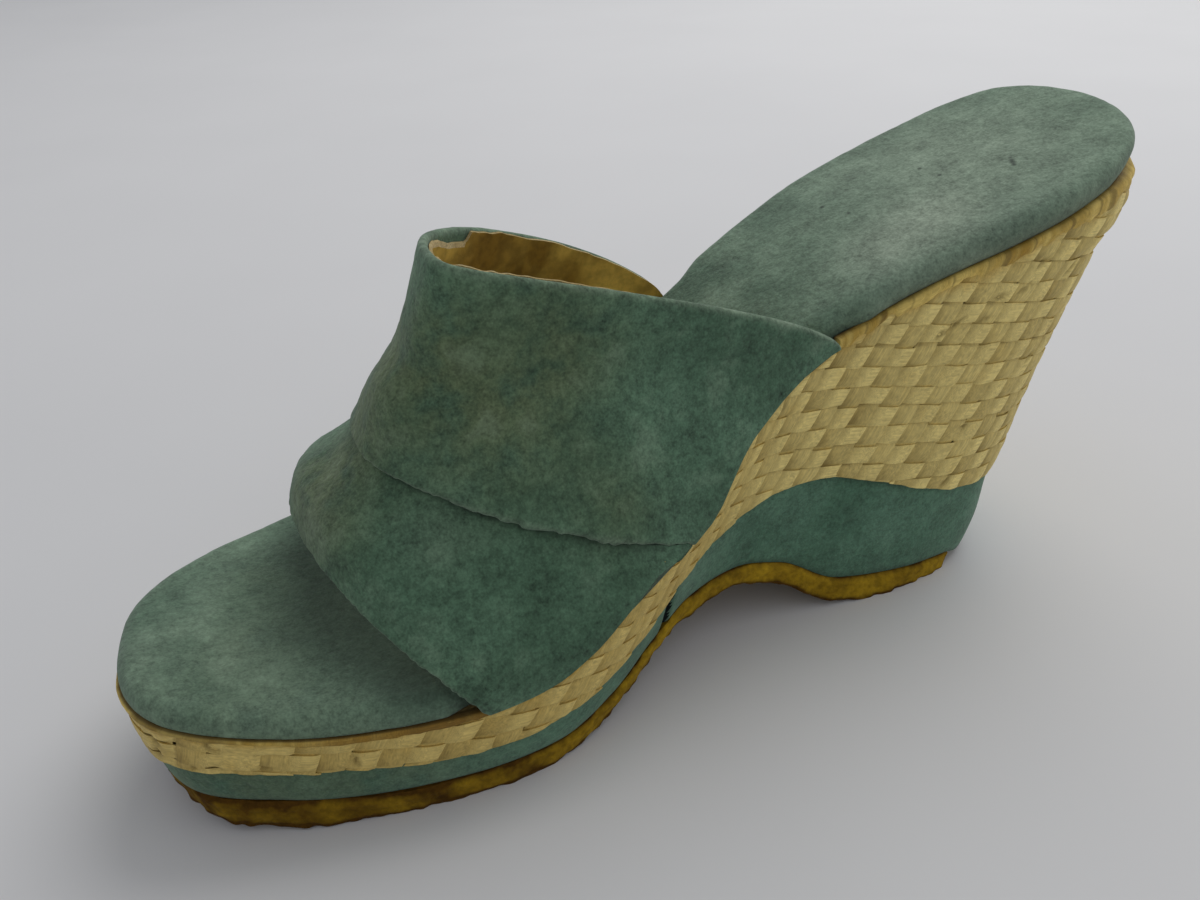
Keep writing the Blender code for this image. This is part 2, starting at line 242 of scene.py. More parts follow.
# Painted shade at the start of a float, under its lower edge, beside its end on the warp strip and in the gaps
START_SHADE = 0.85      # how much darker a float starts where it comes up from under a warp strip
LOW_SHADE = 0.16
NOTCH_SHADE = 0.66
HOLE_SHADE = 0.9
DARKEST = 0.95

# Slips in the weave at the toe: row, warp strips, and 1 where the weft lies on top or -1 where the warp does
WEAVE_SLIPS = [(1, (3, 5, 6), 1.0), (2, (3, 5, 6), 1.0), (1, (4,), -1.0), (2, (4,), -1.0)]

# Dark gaps in the weave: length along the wall, height across the rows, half sizes and lean
Hole = namedtuple("Hole", "at row wide tall lean")
HOLES = [Hole(*row) for row in (
    (10.3, 24.1, 0.6, 1.1, -0.5), (9.5, 21, 0.6, 1, 0.2), (20.6, 26.8, 0.35, 1, 0.1),
    (21.6, 25.8, 0.9, 0.3, 0), (16.6, 19.7, 0.5, 0.4, 0), (20.6, 20.9, 0.8, 0.25, 0.6),
    (29.2, 21.2, 1.4, 0.22, 0), (36, 22, 1, 0.2, 0), (45.4, 22.6, 0.3, 1.2, -0.3),
    (180.1, 92.5, 0.6, 0.8, 0.4), (182.8, 94.6, 0.35, 1.6, 0.8), (199.8, 108.2, 0.45, 0.9, 0.8),
    (210.4, 106.5, 0.4, 1.3, 0.7), (191.7, 101, 0.9, 0.5, 0.8), (190, 96.1, 0.6, 0.35, 0.8),
    (210.7, 85.8, 0.35, 1, 0.7), (196.9, 70.3, 0.5, 0.3, 0), (198.6, 56.2, 0.3, 0.9, 0.7),
    (197.8, 102.8, 0.3, 0.9, 0.8), (218.4, 89.8, 0.3, 1.1, 0.7),
)]
HOLE_DEPTH = 0.7
HOLE_SPREAD = 1.4

# How far the raffia stands off the wall at the back of the heel: share of the wall's height, lift
SWELL = [(0, -0.7), (0.15, -1), (0.35, -1.1), (0.5, -0.7), (0.62, -0.3), (0.75, 0.1), (0.81, 0.3),
         (0.86, 1.5), (0.92, 1.8), (0.97, 1.1), (1, 0.3)]
BACK_LUMPS = (0.35, 5.0)

# Unevenness of the weave, as height, size and number of the line of noise, to which a strip's own number is added
HEM_RAGS = ((0.3, 3.1, 21.0), (0.15, 1.1, 25.0))
HEM_RAGS_PLAIN, HEM_RAGS_TOE = 0.35, 0.5
WEFT_SHIFT = ((0.38, 17.0, 0), (0.20, 4.0, 60))
WEFT_WIDEN = (0.14, 9.0, 40)
WEFT_DRIFT = (0.2, 40.0, 80)
WARP_SHIFT = (0.50, 13.0, 7.3)
WARP_DRIFT = (0.2, 30.0, 0)
CLEAR = 0.85            # how clearly the floats stand out on the whole
CLEAR_BROAD, CLEAR_FINE = (0.45, 11.0), (0.25, 5.0)
GLUE_RAGS = ((0.5, 5.0, 3.0), (0.3, 1.7, 8.0))
GLUE_TALL, GLUE_TALL_HEEL = 2.2, 3.8
GLUE_STAIN, GLUE_STAIN_HEEL = 0.65, 0.25
TOE_STAIN = 0.40

# The raffia's edges against the solids' edges, as x and rise: its lower edge, and its upper edge on the
# inner side, where it runs up behind the upper's hem
LOW_RISE = [(0, 0.2), (4, 0.4), (8, 1.1), (15, 1.4), (25, 1.25), (32, 1.1), (38, 0.75),
            (45, 0.7), (52, 0.2), (80, 0.1), (86, 0.4), (92, 0.9), (97, 0.6), (101, 0.2),
            (108, -0.2), (126, -0.2), (131, 0), (140, 0)]
TOP_RISE = [(74, 0), (80, 2.4), (86, 4.4), (96, 4.4), (99, 2.4), (101.5, 0.3), (107, 0.2),
            (112, 0.8), (116, 2.6), (120, 4.4), (130, 4.2), (136, 3.2), (142, 2), (148, 0.6),
            (152, 0)]
HEM_LEAN = 0.3          # how far that part leans in under the hem, for each millimetre of height
BACK_DROP = 2.0         # how much lower the raffia ends at the back of the heel

# The strip over the raffia's top edge, point by point round its section: its share of the strip's height,
# how far it stands over the edge and off the wall at the toe, at the heel and at the heel's back, and its painted
# shade where it runs in under the footbed, at the toe and at the heel
EdgeRow = namedtuple("EdgeRow", "rise over over_heel over_back lift lift_heel lift_back dark dark_heel")
EDGE = EdgeRow(*np.transpose((
    (-1.00, 0.00, 0.00, 0.00,  0.50,  0.20,  0.20, 0.00, 0.00),
    (-0.85, 0.00, 0.00, 0.00,  0.66,  0.55,  0.60, 0.00, 0.00),
    (-0.50, 0.00, 0.05, 0.10,  0.72,  0.80,  0.85, 0.00, 0.00),
    (-0.10, 0.00, 0.30, 0.35,  0.68,  0.85,  0.85, 0.05, 0.00),
    (0.000, 0.10, 0.75, 0.75,  0.50,  0.60,  0.60, 0.20, 0.05),
    (0.000, 0.12, 0.95, 1.40,  0.10, -0.25, -0.60, 0.80, 0.40),
    (0.000, 0.12, 0.80, 2.10, -0.90, -1.40, -2.10, 0.95, 0.95),
    (-0.20, 0.00, 0.00, 0.00, -0.90, -1.50, -2.10, 0.95, 0.95),
    (-0.90, 0.00, 0.00, 0.00,  0.30,  0.00,  0.00, 0.90, 0.90),
)))
EDGE_MARGIN = 1.0       # how far it runs on under the upper
EDGE_TALL, EDGE_TALL_HEEL, EDGE_TALL_AMBER = 0.5, 1.6, 0.8
EDGE_OVER_RAGS = (0.3, 7.0, 44.0)
EDGE_RIPPLE = ((1.0, 3.0, 9.0), (0.8, 1.2, 15.0))
EDGE_TONES = ((0.45, 6.0, 2.0), (0.35, 1.1, 17.0))
EDGE_CRACKS = (1.0, 0.8, 12.0)
EDGE_SOOT = (0.8, 14.0, 31.0)

# Soft spots on the suede: x, y, z, radius, strength
Spot = namedtuple("Spot", "x y z radius strength")
OLIVE = [Spot(*row) for row in (
    (83.8, -21.2, 81.7, 14, 0.7), (71.3, -22.8, 66.8, 15, 0.6), (66.8, -16.9, 83.2, 12, 0.7),
    (90.7, -31.1, 51.1, 9, 0.5), (51.6, -2.9, 66.8, 15, 0.7), (39.2, 1.7, 52.8, 13, 0.7),
    (41.4, -11.8, 53.3, 9, 0.5), (31.3, 11.4, 29, 8, 0.5), (33.1, -6.1, 29, 12, 0.6),
    (59.3, -0.6, 77.8, 12, 0.6), (12, -22, 13, 18, 0.6), (40, -35, 9, 20, 0.5),
)]
WORN = [Spot(*row) for row in (
    (175.3, -15, 86.5, 11, 0.6), (161.3, -15, 81.6, 10, 0.6), (195, 0, 92, 34, 0.6),
    (24, -14, 30, 9, 0.12), (4, -4, 31, 7, 0.2), (57.8, -26.6, 51.1, 7, 0.35),
    (40, -8, 51, 6, 0.3),
)]
# Painted shade: darker spots on the upper
SHADE = [Spot(*row) for row in (
    (74.5, -19.1, 86, 9, 0.4), (109.1, -29.6, 49.9, 12, 0.3), (50, -15.8, 57, 7, 0.3),
    (47.7, -29.1, 44.4, 9, 0.35), (62.2, -31.2, 46.9, 13, 0.6), (75, -38.6, 34.8, 13, 0.7),
)]

# Specks and the nick on the footbed: x, y, radius, strength
SPECKS = [
    (165.4, 10.1, 0.8, 0.8), (166.9, 2.6, 0.6, 0.7), (187.2, 3.8, 0.7, 0.7), (187.5, -2.3, 0.7, 0.8),
    (199.2, -11.6, 1, 0.8), (199.8, -10.6, 0.9, 0.8), (198.6, -12.6, 0.8, 0.8), (200.4, -9.6, 0.6, 0.7),
]
SPECK_CORE = 0.3        # share of a speck's radius that is wholly dark

# Soft folds and lumps of the upper: start, end, half width and height
Fold = namedtuple("Fold", "start end width height")
FOLDS = [Fold(*row) for row in (
    ((57, -3, 74), (60, -14, 71), 5, 1.2),
    ((59.3, -0.6, 79), (64, -12, 77), 4, -0.9),
    ((44, -8, 61), (60, -22, 58), 6, 0.5),
    ((66, -20, 74), (90, -27, 62), 9, 0.5),
    ((75, -18, 92), (104, -24, 72), 9, -0.4),
    ((44, 2, 60.5), (48, 12, 60), 7, -1.3),
    ((76, 2, 97), (84, 14, 93), 8, 0.8),
)]
UPPER_LUMPS = ((0.25, 14.0), (0.10, 5.0))
NAP_LUMPS = (0.10, 1.5)
FOOT_FADE = 1 / 12      # share of a rib, from its foot, over which folds and nap fade in

# The upper's lower edge on the inner side, as x and how far it hangs below the wedge's top edge
HEM_DROP = [(40, 0.9), (58, 0.9), (64, 0.5), (72, 0), (80, -1.6), (86, -3.2), (95, -3.2),
            (98.5, -1.6), (101.5, 0.5), (106, 1.2), (110, 2), (113, 1.4), (116, -0.6), (119, -2.4),
            (122, -3.2), (130, -2.9), (136, -2), (142, -0.9), (148, 0.4)]
HEM_DROP_OUTER = 0.6
HEM_DROP_REACH = 3.5
HEM_PUSH = 1.2
HEM_REACH = 6.0

# The bands' edges, as shares along the upper: the round of the rim, its raggedness, its wear with a painted
# highlight, and the lap's painted shade
RIM = 0.011
RAGS = 160              # length of a rib in the raggedness's own units
RAGS_REACH = 0.05
RIM_RAGS = ((0.005, 5.0, 0.0), (0.004, 1.2, 9.0))
RIM_WEAR_AND_HIGHLIGHT_REACH = 0.010
RIM_WEAR_AND_HIGHLIGHT_FRONT = 0.3
RIM_WEAR_AND_HIGHLIGHT_REAR = 0.5
LAP_SHADE = 0.42
LAP_SHADE_FADE = 0.06
LAP_THIN = (LAP_EDGE + 0.003, LAP_EDGE + 0.015)
LAP_PLAY = 0.15
THINNEST = 0.2

# The lining: where it starts and ends, the step in its edge at the crest, and how far it stays below the near rim
LINING_THICK = 0.6
LINING_PLAY = 0.12
LINING_ALONG = (0.03, 0.998)
LINING_AROUND = (0.004, 0.996)
LINING_LAP = (LAP_EDGE + LAP - 0.02, LAP_EDGE + LAP + 0.04)
LINING_RAGS = 60
COLLAR_RAGS = ((0.003, 2.0, 0.0), (0.002, 0.7, 3.0))
EDGE_GATHER = 12        # power that keeps the changes of its edge near that edge
STEP_START = (0.44, 0.49)
STEP_END = (0.71, 0.704)
STEP_GROWS = (0.58, 0.68)
STEP_LEAST, STEP_MORE = 0.005, 0.015
NEAR_RIM = (0.44, 0.39)
NEAR_DROP = (0.26, 0.18)
NEAR_LEAST, NEAR_MORE = 0.001, 0.009
# Rows at the crest where the inner face takes the brighter painted-light copy of the raw edge
RAW_FACE_PAINTED_LIGHT = (0.40, 0.70)
LINING_STREAK = (1.0, 1.0, 0.35)
STREAK_LUMPS = (0.25, 5.0)
# Painted shade in the lining, towards the front and deep inside under the crest
LINING_DARK, LINING_DARK_X, LINING_DARK_WIDE = 0.95, 90.0, 15.0
CREST_DARK = 0.45

# The photo's camera, in millimetres, degrees and the photo's pixels
AZIMUTH = -26.31
ELEVATION = 31.19
ROLL = -2.07
DISTANCE = 240.5
FOCUS_PX = 1097.7
TARGET = np.array((115.0, 0.0, 45.0))
OFFSET_RIGHT = -11.19
OFFSET_UP = -4.79
PHOTO_WIDTH = 1200.0
SENSOR = 36.0

LATTICE_SIZE = 32
LATTICE = np.random.default_rng(5).uniform(-1, 1, (LATTICE_SIZE,) * 3)
TONES = np.random.default_rng(11).uniform(0.0, 1.0, (ROW_COUNT + 2, WARP_COUNT))
SHIFTS = np.random.default_rng(12).uniform(-1.0, 1.0, (ROW_COUNT + 2, WARP_COUNT))


def hermite(knots, values, slopes, at):
    """Values of the cubic curve with the given values and slopes at its knots."""
    span = np.clip(np.searchsorted(knots, at) - 1, 0, len(knots) - 2)
    step = knots[span + 1] - knots[span]
    t = (at - knots[span]) / step
    start = (1 + 2 * t) * (1 - t) ** 2 * values[span] + t * (1 - t) ** 2 * step * slopes[span]
    end = t ** 2 * (3 - 2 * t) * values[span + 1] + t ** 2 * (t - 1) * step * slopes[span + 1]
    return start + end


def column_curve(rows, key, column):
    """Curve through one column of a table, with no humps between its rows."""
    knots = np.array([getattr(row, key) for row in rows])
    values = np.array([getattr(row, column) for row in rows])
    step = np.diff(knots)
    rise = np.diff(values) / step
    before, after = rise[:-1], rise[1:]
    turning = before * after <= 0
    weight_before = 2 * step[1:] + step[:-1]
    weight_after = step[1:] + 2 * step[:-1]
    mean = (weight_before + weight_after) / (
        weight_before / np.where(turning, 1.0, before) + weight_after / np.where(turning, 1.0, after))
    slopes = np.concatenate(([rise[0]], np.where(turning, 0.0, mean), [rise[-1]]))
    return lambda at: hermite(knots, values, slopes, np.asarray(at, dtype=float))


def from_table(at, rows):
    """Value at a place from a table of places and values."""
    return np.interp(at, *np.transpose(rows))


def unit(value):
    """Value kept between 0 and 1."""
    return np.clip(value, 0.0, 1.0)


def ease(value, start=0.0, end=1.0):
    """Soft ramp from 0 at the start to 1 at the end."""
    share = unit((value - start) / (end - start))
    return share * share * (3 - 2 * share)


def bell(distance, width):
    """1 at no distance, fading out over the width."""
    return np.exp(-(distance / width) ** 2)


def soft_noise(points, size):
    """Smooth noise from -1 to 1 with lumps of about the given size."""
    scaled = np.asarray(points, float) / size
    cell = np.floor(scaled).astype(int)
    part = ease(scaled - cell)
    total = np.zeros(scaled.shape[:-1])
    for corner in np.ndindex(2, 2, 2):
        weight = np.prod(np.where(corner, part, 1 - part), axis=-1)
        i, j, k = np.moveaxis((cell + corner) % LATTICE_SIZE, -1, 0)
        total += weight * LATTICE[i, j, k]
    return total


def lumps(points, *rows):
    """Soft noise at some points, by height and size."""
    return sum(height * soft_noise(points, size) for height, size in rows)


def line_lumps(at, *rows, own=0):
    """Soft noise along a line, by height, size and number of the line, counted from a strip's own number."""
    at = np.asarray(at, float)
    zero = np.zeros(at.shape)
    return sum(height * soft_noise(np.stack((at, zero + (line + own) * size, zero), axis=-1), size)
               for height, size, line in rows)


TREAD_Z, OUTSOLE_Z, PLATFORM_Z, WEDGE_Z = (
    column_curve(SOLE, "station", column) for column in ("tread", "outsole", "platform", "wedge"))
RIB = {column: column_curve(UPPER, "along", column) for column in UpperRow._fields[1:]}


def side_outlines():
    """Plan of the wedge's top edge, as two fine polylines from toe to heel: medial, lateral."""
    medial = [(row.station * LENGTH, -row.medial) for row in SOLE]
    lateral = [(row.station * LENGTH, row.lateral) for row in SOLE[-2:0:-1]]
    loop = np.array(medial + lateral + medial[:1])
    step = norm(np.diff(loop, axis=0), axis=1)
    rise = np.diff(loop, axis=0) / step[:, None]
    step_before = np.roll(step, 1)[:, None]
    slopes = (step[:, None] * np.roll(rise, 1, axis=0) + step_before * rise) / (step[:, None] + step_before)
    slopes = np.vstack((slopes, slopes[:1]))
    knots = np.concatenate(([0.0], np.cumsum(step)))
    at = np.linspace(0.0, knots[-1], OUTLINE_SAMPLES)
    fine = np.column_stack([hermite(knots, loop[:, axis], slopes[:, axis], at) for axis in (0, 1)])
    heel = np.argmax(fine[:, 0])
    return fine[:heel + 1], fine[:heel - 1:-1]


MEDIAL_LINE, LATERAL_LINE = side_outlines()


def tip_share(plan, middle):
    """1 at a place near the tip of the toe, fading out round it."""
    return bell(norm(plan[..., :2] - middle, axis=-1), TIP_RADIUS)


def back_share(x):
    """1 at the back of the heel."""
    return ease(x, *BACK_RAMP)


def toe_share(x):
    """1 at the toe and 0 from the ball to the heel."""
    return ease(x, *TOE_RAMP)


def heel_end(x):
    """1 from the heel's corners to its back, by x along the wedge's top edge."""
    return ease(x, *HEEL_END_RAMP)


def side_points(line, stations):
    """Points spread evenly along one side of the wedge's top edge."""
    at = np.concatenate(([0.0], np.cumsum(norm(np.diff(line, axis=0), axis=1))))
    wanted = (np.arange(stations) + 0.5) / stations * at[-1]
    return np.column_stack([np.interp(wanted, at, line[:, axis]) for axis in (0, 1)])


def inset_plan(plan, inset):
    """Move a plan loop inwards by an amount that may differ from point to point."""
    tangent = np.roll(plan, -1, axis=0) - np.roll(plan, 1, axis=0)
    inward = np.column_stack((-tangent[:, 1], tangent[:, 0]))
    inward /= norm(inward, axis=1)[:, None]
    return plan + inward * np.broadcast_to(inset, len(plan))[:, None]


def outwards(ring):
    """Outward steps of one millimetre, in plan, along a loop round the sole."""
    return ring[:, :2] - inset_plan(ring[:, :2], 1.0)


def top_plan(stations=STATIONS):
    """Loop along the wedge's top edge: medial side to the heel, lateral side back to the toe."""
    return np.vstack((side_points(MEDIAL_LINE, stations), side_points(LATERAL_LINE, stations)[::-1]))


def side_ring(height_curve, lift=0.0, inset=0.0, stations=STATIONS):
    """Loop round the sole's side wall at the heights of a curve."""
    plan = top_plan(stations)
    shares = plan[:, 0] / LENGTH
    height = height_curve(shares) + lift
    top = WEDGE_Z(shares)
    down = (top - height) / (top - TREAD_Z(shares))
    plan[:, 0] += down * (TREAD_START + TREAD_LENGTH * shares - LENGTH * shares)
    plan[:, 1] *= 1 - TREAD_TAPER * down
    moved = inset_plan(plan, inset)
    shares = shares + (moved[:, 0] - plan[:, 0]) / (LENGTH + down * (TREAD_LENGTH - LENGTH))
    return np.column_stack((moved, height_curve(shares) + lift))


def rings_between(bottom, top, rows):
    """Loops from a lower to an upper one, each with its share of the height."""
    return [(share, bottom + (top - bottom) * share) for share in np.linspace(0.0, 1.0, rows + 1)]


def footbed_inset(plan):
    """Distance of the footbed's edge from the wedge's top edge: more where the upper stands."""
    half = len(plan) // 2
    tuck = UPPER_INSET + WALL + SEAT_GAP
    inset = np.empty(len(plan))
    for points, side, toe in ((slice(0, half), "medial", COVER_TOE_MEDIAL),
                              (slice(half, None), "lateral", COVER_TOE_LATERAL)):
        x = plan[points, 0]
        front = getattr(UPPER[0], side) - TUCK_MARGIN
        rear = getattr(UPPER[-1], side) + TUCK_MARGIN
        toe = toe + (COVER_TOE_MEDIAL - toe) * ease(x, COVER_TOE_REACH, 0.0)
        free = np.where(x < front, toe, COVER_HEEL)
        beside = ease(x, front - COVER_RAMP, front) - ease(x, rear, rear + COVER_RAMP)
        under = unit((x - front) / (rear - front))
        inset[points] = free + (tuck - free) * beside + LEAN_ROOM * 4 * under * (1 - under)
    return inset - TIP_OUT * tip_share(plan, TIP)


def rib_half(along, rise, side):
    """Points of one side of the upper's inner form.  rise runs from 0 at the foot to 1 at the crest."""
    line, sign = (MEDIAL_LINE, -1) if side == "medial" else (LATERAL_LINE, 1)
    foot_x = RIB[side](along)
    foot_y = np.interp(foot_x, line[:, 0], line[:, 1]) - sign * (UPPER_INSET + WALL)
    foot_z = WEDGE_Z(foot_x / LENGTH) + SEAT_GAP
    angle = rise * np.pi / 2
    climb = np.sin(angle) ** RIB[side + "_full"](along)
    sweep = np.sin(angle) ** RIB[side + "_sweep"](along)
    x = foot_x + (RIB["crest_x"](along) - foot_x) * sweep
    y = foot_y + (RIB["crest_y"](along) - foot_y) * (1 - np.cos(angle))
    z = foot_z + (RIB["crest_z"](along) - foot_z) * climb
    return np.stack((x, y, z), axis=-1)


def upper_form(along, around):
    """The upper's inner form.  around runs from 0 at the medial foot to 1 at the lateral foot."""
    along, around = np.broadcast_arrays(np.asarray(along, float), np.asarray(around, float))
    medial = rib_half(along, unit(2 * around), "medial")
    lateral = rib_half(along, unit(2 - 2 * around), "lateral")
    return np.where((around <= 0.5)[..., None], medial, lateral)


def upper_normals(along, around):
    """Outward unit normals of the upper's inner form."""
    reach = 1e-3
    inside = np.clip(around, 2 * reach, 1 - 2 * reach)
    lengthwise = upper_form(along + reach, inside) - upper_form(along - reach, inside)
    sideways = upper_form(along, inside + reach) - upper_form(along, inside - reach)
    normal = np.cross(lengthwise, sideways)
    return normal / norm(normal, axis=-1, keepdims=True)


def from_foot(around):
    """Share of a rib between a place on it and its nearer foot."""
    return np.minimum(around, 1 - around)


def spot_sum(points, spots):
    """Strength of soft round spots at some points, up to 1."""
    total = np.zeros(points.shape[:-1])
    for spot in spots:
        distance = norm(points - (spot.x, spot.y, spot.z), axis=-1)
        total += spot.strength * bell(distance, spot.radius)
    return unit(total)


def fold_height(points):
    """Height of the upper's folds and lumps at some points."""
    total = np.zeros(points.shape[:-1])
    for fold in FOLDS:
        start = np.array(fold.start)
        run = np.array(fold.end) - start
        share = unit((points - start) @ run / (run @ run))
        distance = norm(points - start - share[..., None] * run, axis=-1)
        total += fold.height * bell(distance, fold.width)
    return total


def loop_faces(rows, columns):
    """Quads between closed loops of points that are numbered loop by loop."""
    corner = np.arange((rows - 1) * columns).reshape(rows - 1, columns)
    beside = np.roll(corner, -1, axis=1)
    return np.stack((corner, beside, beside + columns, corner + columns), axis=-1).reshape(-1, 4).tolist()


def tube_faces(rows, columns):
    """Faces of a closed tube through loops of points, with one face at either end."""
    last = (rows - 1) * columns
    return loop_faces(rows, columns) + [list(range(columns)), list(range(last, last + columns))]


def cross_cap(start, count):
    """Quads from each point of a sole loop to its opposite one."""
    return [(start + i, start + i + 1, start + count - 2 - i, start + count - 1 - i)
            for i in range(count // 2 - 1)]


def wall_solid(rings):
    """Points and faces of a closed solid through loops round the sole."""
    count = len(rings[0])
    last = (len(rings) - 1) * count
    return np.vstack(rings), loop_faces(len(rings), count) + cross_cap(0, count) + cross_cap(last, count)


def add_object(name, data):
    """New object in the scene."""
    made = bpy.data.objects.new(name, data)
    bpy.context.scene.collection.objects.link(made)
    return made


def add_piece(name, points, faces, node, materials, values, face_materials=None, sharp=50.0):
    """Closed mesh piece from points in the shoe's millimetres, riding on the CAD's body."""
    mesh = bpy.data.meshes.new(name)
    mesh.from_pydata(((np.asarray(points) - ORIGIN) * MM).tolist(), [], faces)
    for material in materials:
        mesh.materials.append(MATERIALS[material])
    if face_materials is not None:
        mesh.polygons.foreach_set("material_index", np.asarray(face_materials, dtype=np.int32))
    for key, value in values.items():
        layer = mesh.attributes.new(key, "FLOAT", "POINT")
        layer.data.foreach_set("value", np.asarray(value, dtype=np.float32).ravel())
    bm = bmesh.new()
    bm.from_mesh(mesh)
    bmesh.ops.recalc_face_normals(bm, faces=bm.faces)
    bm.to_mesh(mesh)
    bm.free()
    mesh.shade_smooth()
    mesh.set_sharp_from_angle(angle=np.radians(sharp))
    piece = add_object(name, mesh)
    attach(piece, "root")
    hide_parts(node)
    return piece


def suede_values(points, dark=0.0):
    """Tone values of the suede at some points."""
    return {"olive": spot_sum(points, OLIVE), "wear_and_highlight": spot_sum(points, WORN), "shade": spot_sum(points, SHADE),
            "dark": np.broadcast_to(dark, len(points))}


def add_node(tree, kind, inputs=None, **settings):
    """New node; inputs maps a socket's name or number to a value or to a socket that feeds it."""
    node = tree.nodes.new(kind)
    for key, value in settings.items():
        setattr(node, key, value)
    for key, value in (inputs or {}).items():
        if isinstance(value, bpy.types.NodeSocket):
            tree.links.new(value, node.inputs[key])
        else:
            node.inputs[key].default_value = value
    return node


def start_material(name, roughness, **sockets):
    """Material with its shader's uniform values set, its node tree and its shader."""
    made = bpy.data.materials.new(name)
    made.use_nodes = True
    shader = made.node_tree.nodes["Principled BSDF"]
    shader.inputs["Roughness"].default_value = roughness
    for key, value in sockets.items():
        shader.inputs[key.replace("_", " ")].default_value = value
    return made, made.node_tree, shader


def object_place(tree):
    """Place on the piece, in metres."""
    return add_node(tree, "ShaderNodeTexCoord").outputs["Object"]


def noise(tree, vector, scale, detail=3.0, roughness=0.55):
    """Noise value about 0.5."""
    return add_node(tree, "ShaderNodeTexNoise", {
        "Vector": vector, "Scale": scale, "Detail": detail, "Roughness": roughness}).outputs[0]


def ramp(tree, value, low, high):
    """0 below low, 1 above high."""
    return add_node(tree, "ShaderNodeMapRange", {
        "Value": value, "From Min": low, "From Max": high}, interpolation_type="SMOOTHSTEP").outputs[0]


def math(tree, operation, first, second, third=0.0):
    """Sum, product and the like of values."""
    return add_node(tree, "ShaderNodeMath", {0: first, 1: second, 2: third}, operation=operation).outputs[0]


def scaled_sum(tree, value, factor, rest):
    """Value times factor, plus the rest."""
    return math(tree, "MULTIPLY_ADD", value, factor, rest)


def mix(tree, factor, first, second, blend="MIX"):
    """Mix of two colours."""
    colours = [value if isinstance(value, bpy.types.NodeSocket) else (*value, 1.0) for value in (first, second)]
    return add_node(tree, "ShaderNodeMix", {0: factor, 6: colours[0], 7: colours[1]},
                    data_type="RGBA", blend_type=blend).outputs[2]


def attribute(tree, name):
    """Value of a point attribute."""
    return add_node(tree, "ShaderNodeAttribute", attribute_name=name).outputs["Fac"]


def bump(tree, height, strength, distance, **normal):
    """Bumped normal, on top of another one if that is given as Normal."""
    return add_node(tree, "ShaderNodeBump", {
        "Height": height, "Strength": strength, "Distance": distance, **normal}).outputs[0]


def finish_material(tree, shader, colour, normal):
    """Feed colour and normal to the shader."""
    tree.links.new(colour, shader.inputs["Base Color"])
    tree.links.new(normal, shader.inputs["Normal"])


# Noise of the suede from broad to fine, as scale, detail and roughness, and the shares of the grain
SUEDE_NOISE = [(46.0, 2.0), (125.0, 4.0, 0.6), (480.0, 3.0), (1000.0, 2.0), (2300.0, 2.0)]
GRAIN_MIDDLE, GRAIN_PATCH, GRAIN_FINE, GRAIN_GRIT = 0.9, 1.2, 1.1, 0.9
SPECK_COLOUR = (0.018, 0.026, 0.020)
SHEEN_TINT = (0.80, 0.88, 0.80, 1.0)


def suede(name, main, deep, pale, olive, wear, rough, specks=()):
    """Napped suede: mottled at several sizes, olive where soiled and where shade is painted on the footbed, paler
    where worn or a highlight is painted, darker where shade is painted, dark in specks.
    """
    made, tree, shader = start_material(
        name, 0.95, Specular_IOR_Level=0.12, Sheen_Weight=0.22, Sheen_Roughness=0.6, Sheen_Tint=SHEEN_TINT)
    place = object_place(tree)
    broad, patch, middle, grit, fine = [noise(tree, place, *row) for row in SUEDE_NOISE]
    colour = mix(tree, ramp(tree, broad, 0.36, 0.64), main, deep)
    dirt_and_shade = math(tree, "MULTIPLY", attribute(tree, "olive"), ramp(tree, patch, 0.2, 0.6))
    colour = mix(tree, dirt_and_shade, colour, olive)
    wear_and_highlight = scaled_sum(tree, ramp(tree, patch, 0.50, 0.72), wear, attribute(tree, "wear_and_highlight"))
    colour = mix(tree, wear_and_highlight, colour, pale)
    # Painted shade from the shade attribute
    colour = mix(tree, attribute(tree, "shade"), colour, deep)
    shares = ((middle, GRAIN_MIDDLE), (patch, GRAIN_PATCH), (fine, GRAIN_FINE), (grit, GRAIN_GRIT))
    grain = -sum(share for _, share in shares) / 2
    for value, share in shares:
        grain = scaled_sum(tree, value, share, grain)
    colour = mix(tree, 1.0, colour, scaled_sum(tree, grain, rough, 1.0), "MULTIPLY")
    # Darker by the dark attribute: painted shade under the lap, on the footbed and along the platform's top edge,
    # dirt on the footbed's edge, dark seam lines, and the specks
    dark = attribute(tree, "dark")
    plan = add_node(tree, "ShaderNodeVectorMath", {0: place, 1: (1.0, 1.0, 0.0)}, operation="MULTIPLY").outputs[0]
    for x, y, radius, strength in specks:
        middle_of_speck = tuple((np.array((x, y, 0.0)) - ORIGIN) * MM)
        away = add_node(tree, "ShaderNodeVectorMath", {0: plan, 1: middle_of_speck}, operation="DISTANCE")
        spot = add_node(tree, "ShaderNodeMapRange", {
            "Value": away.outputs["Value"], "From Min": radius * MM, "From Max": SPECK_CORE * radius * MM,
            "To Max": strength}).outputs[0]
        dark = math(tree, "ADD", dark, spot)
    colour = mix(tree, dark, colour, SPECK_COLOUR)
    nap = bump(tree, grit, 0.55, 0.0004)
    finish_material(tree, shader, colour, bump(tree, middle, 0.30, 0.0006, Normal=nap))
    return made


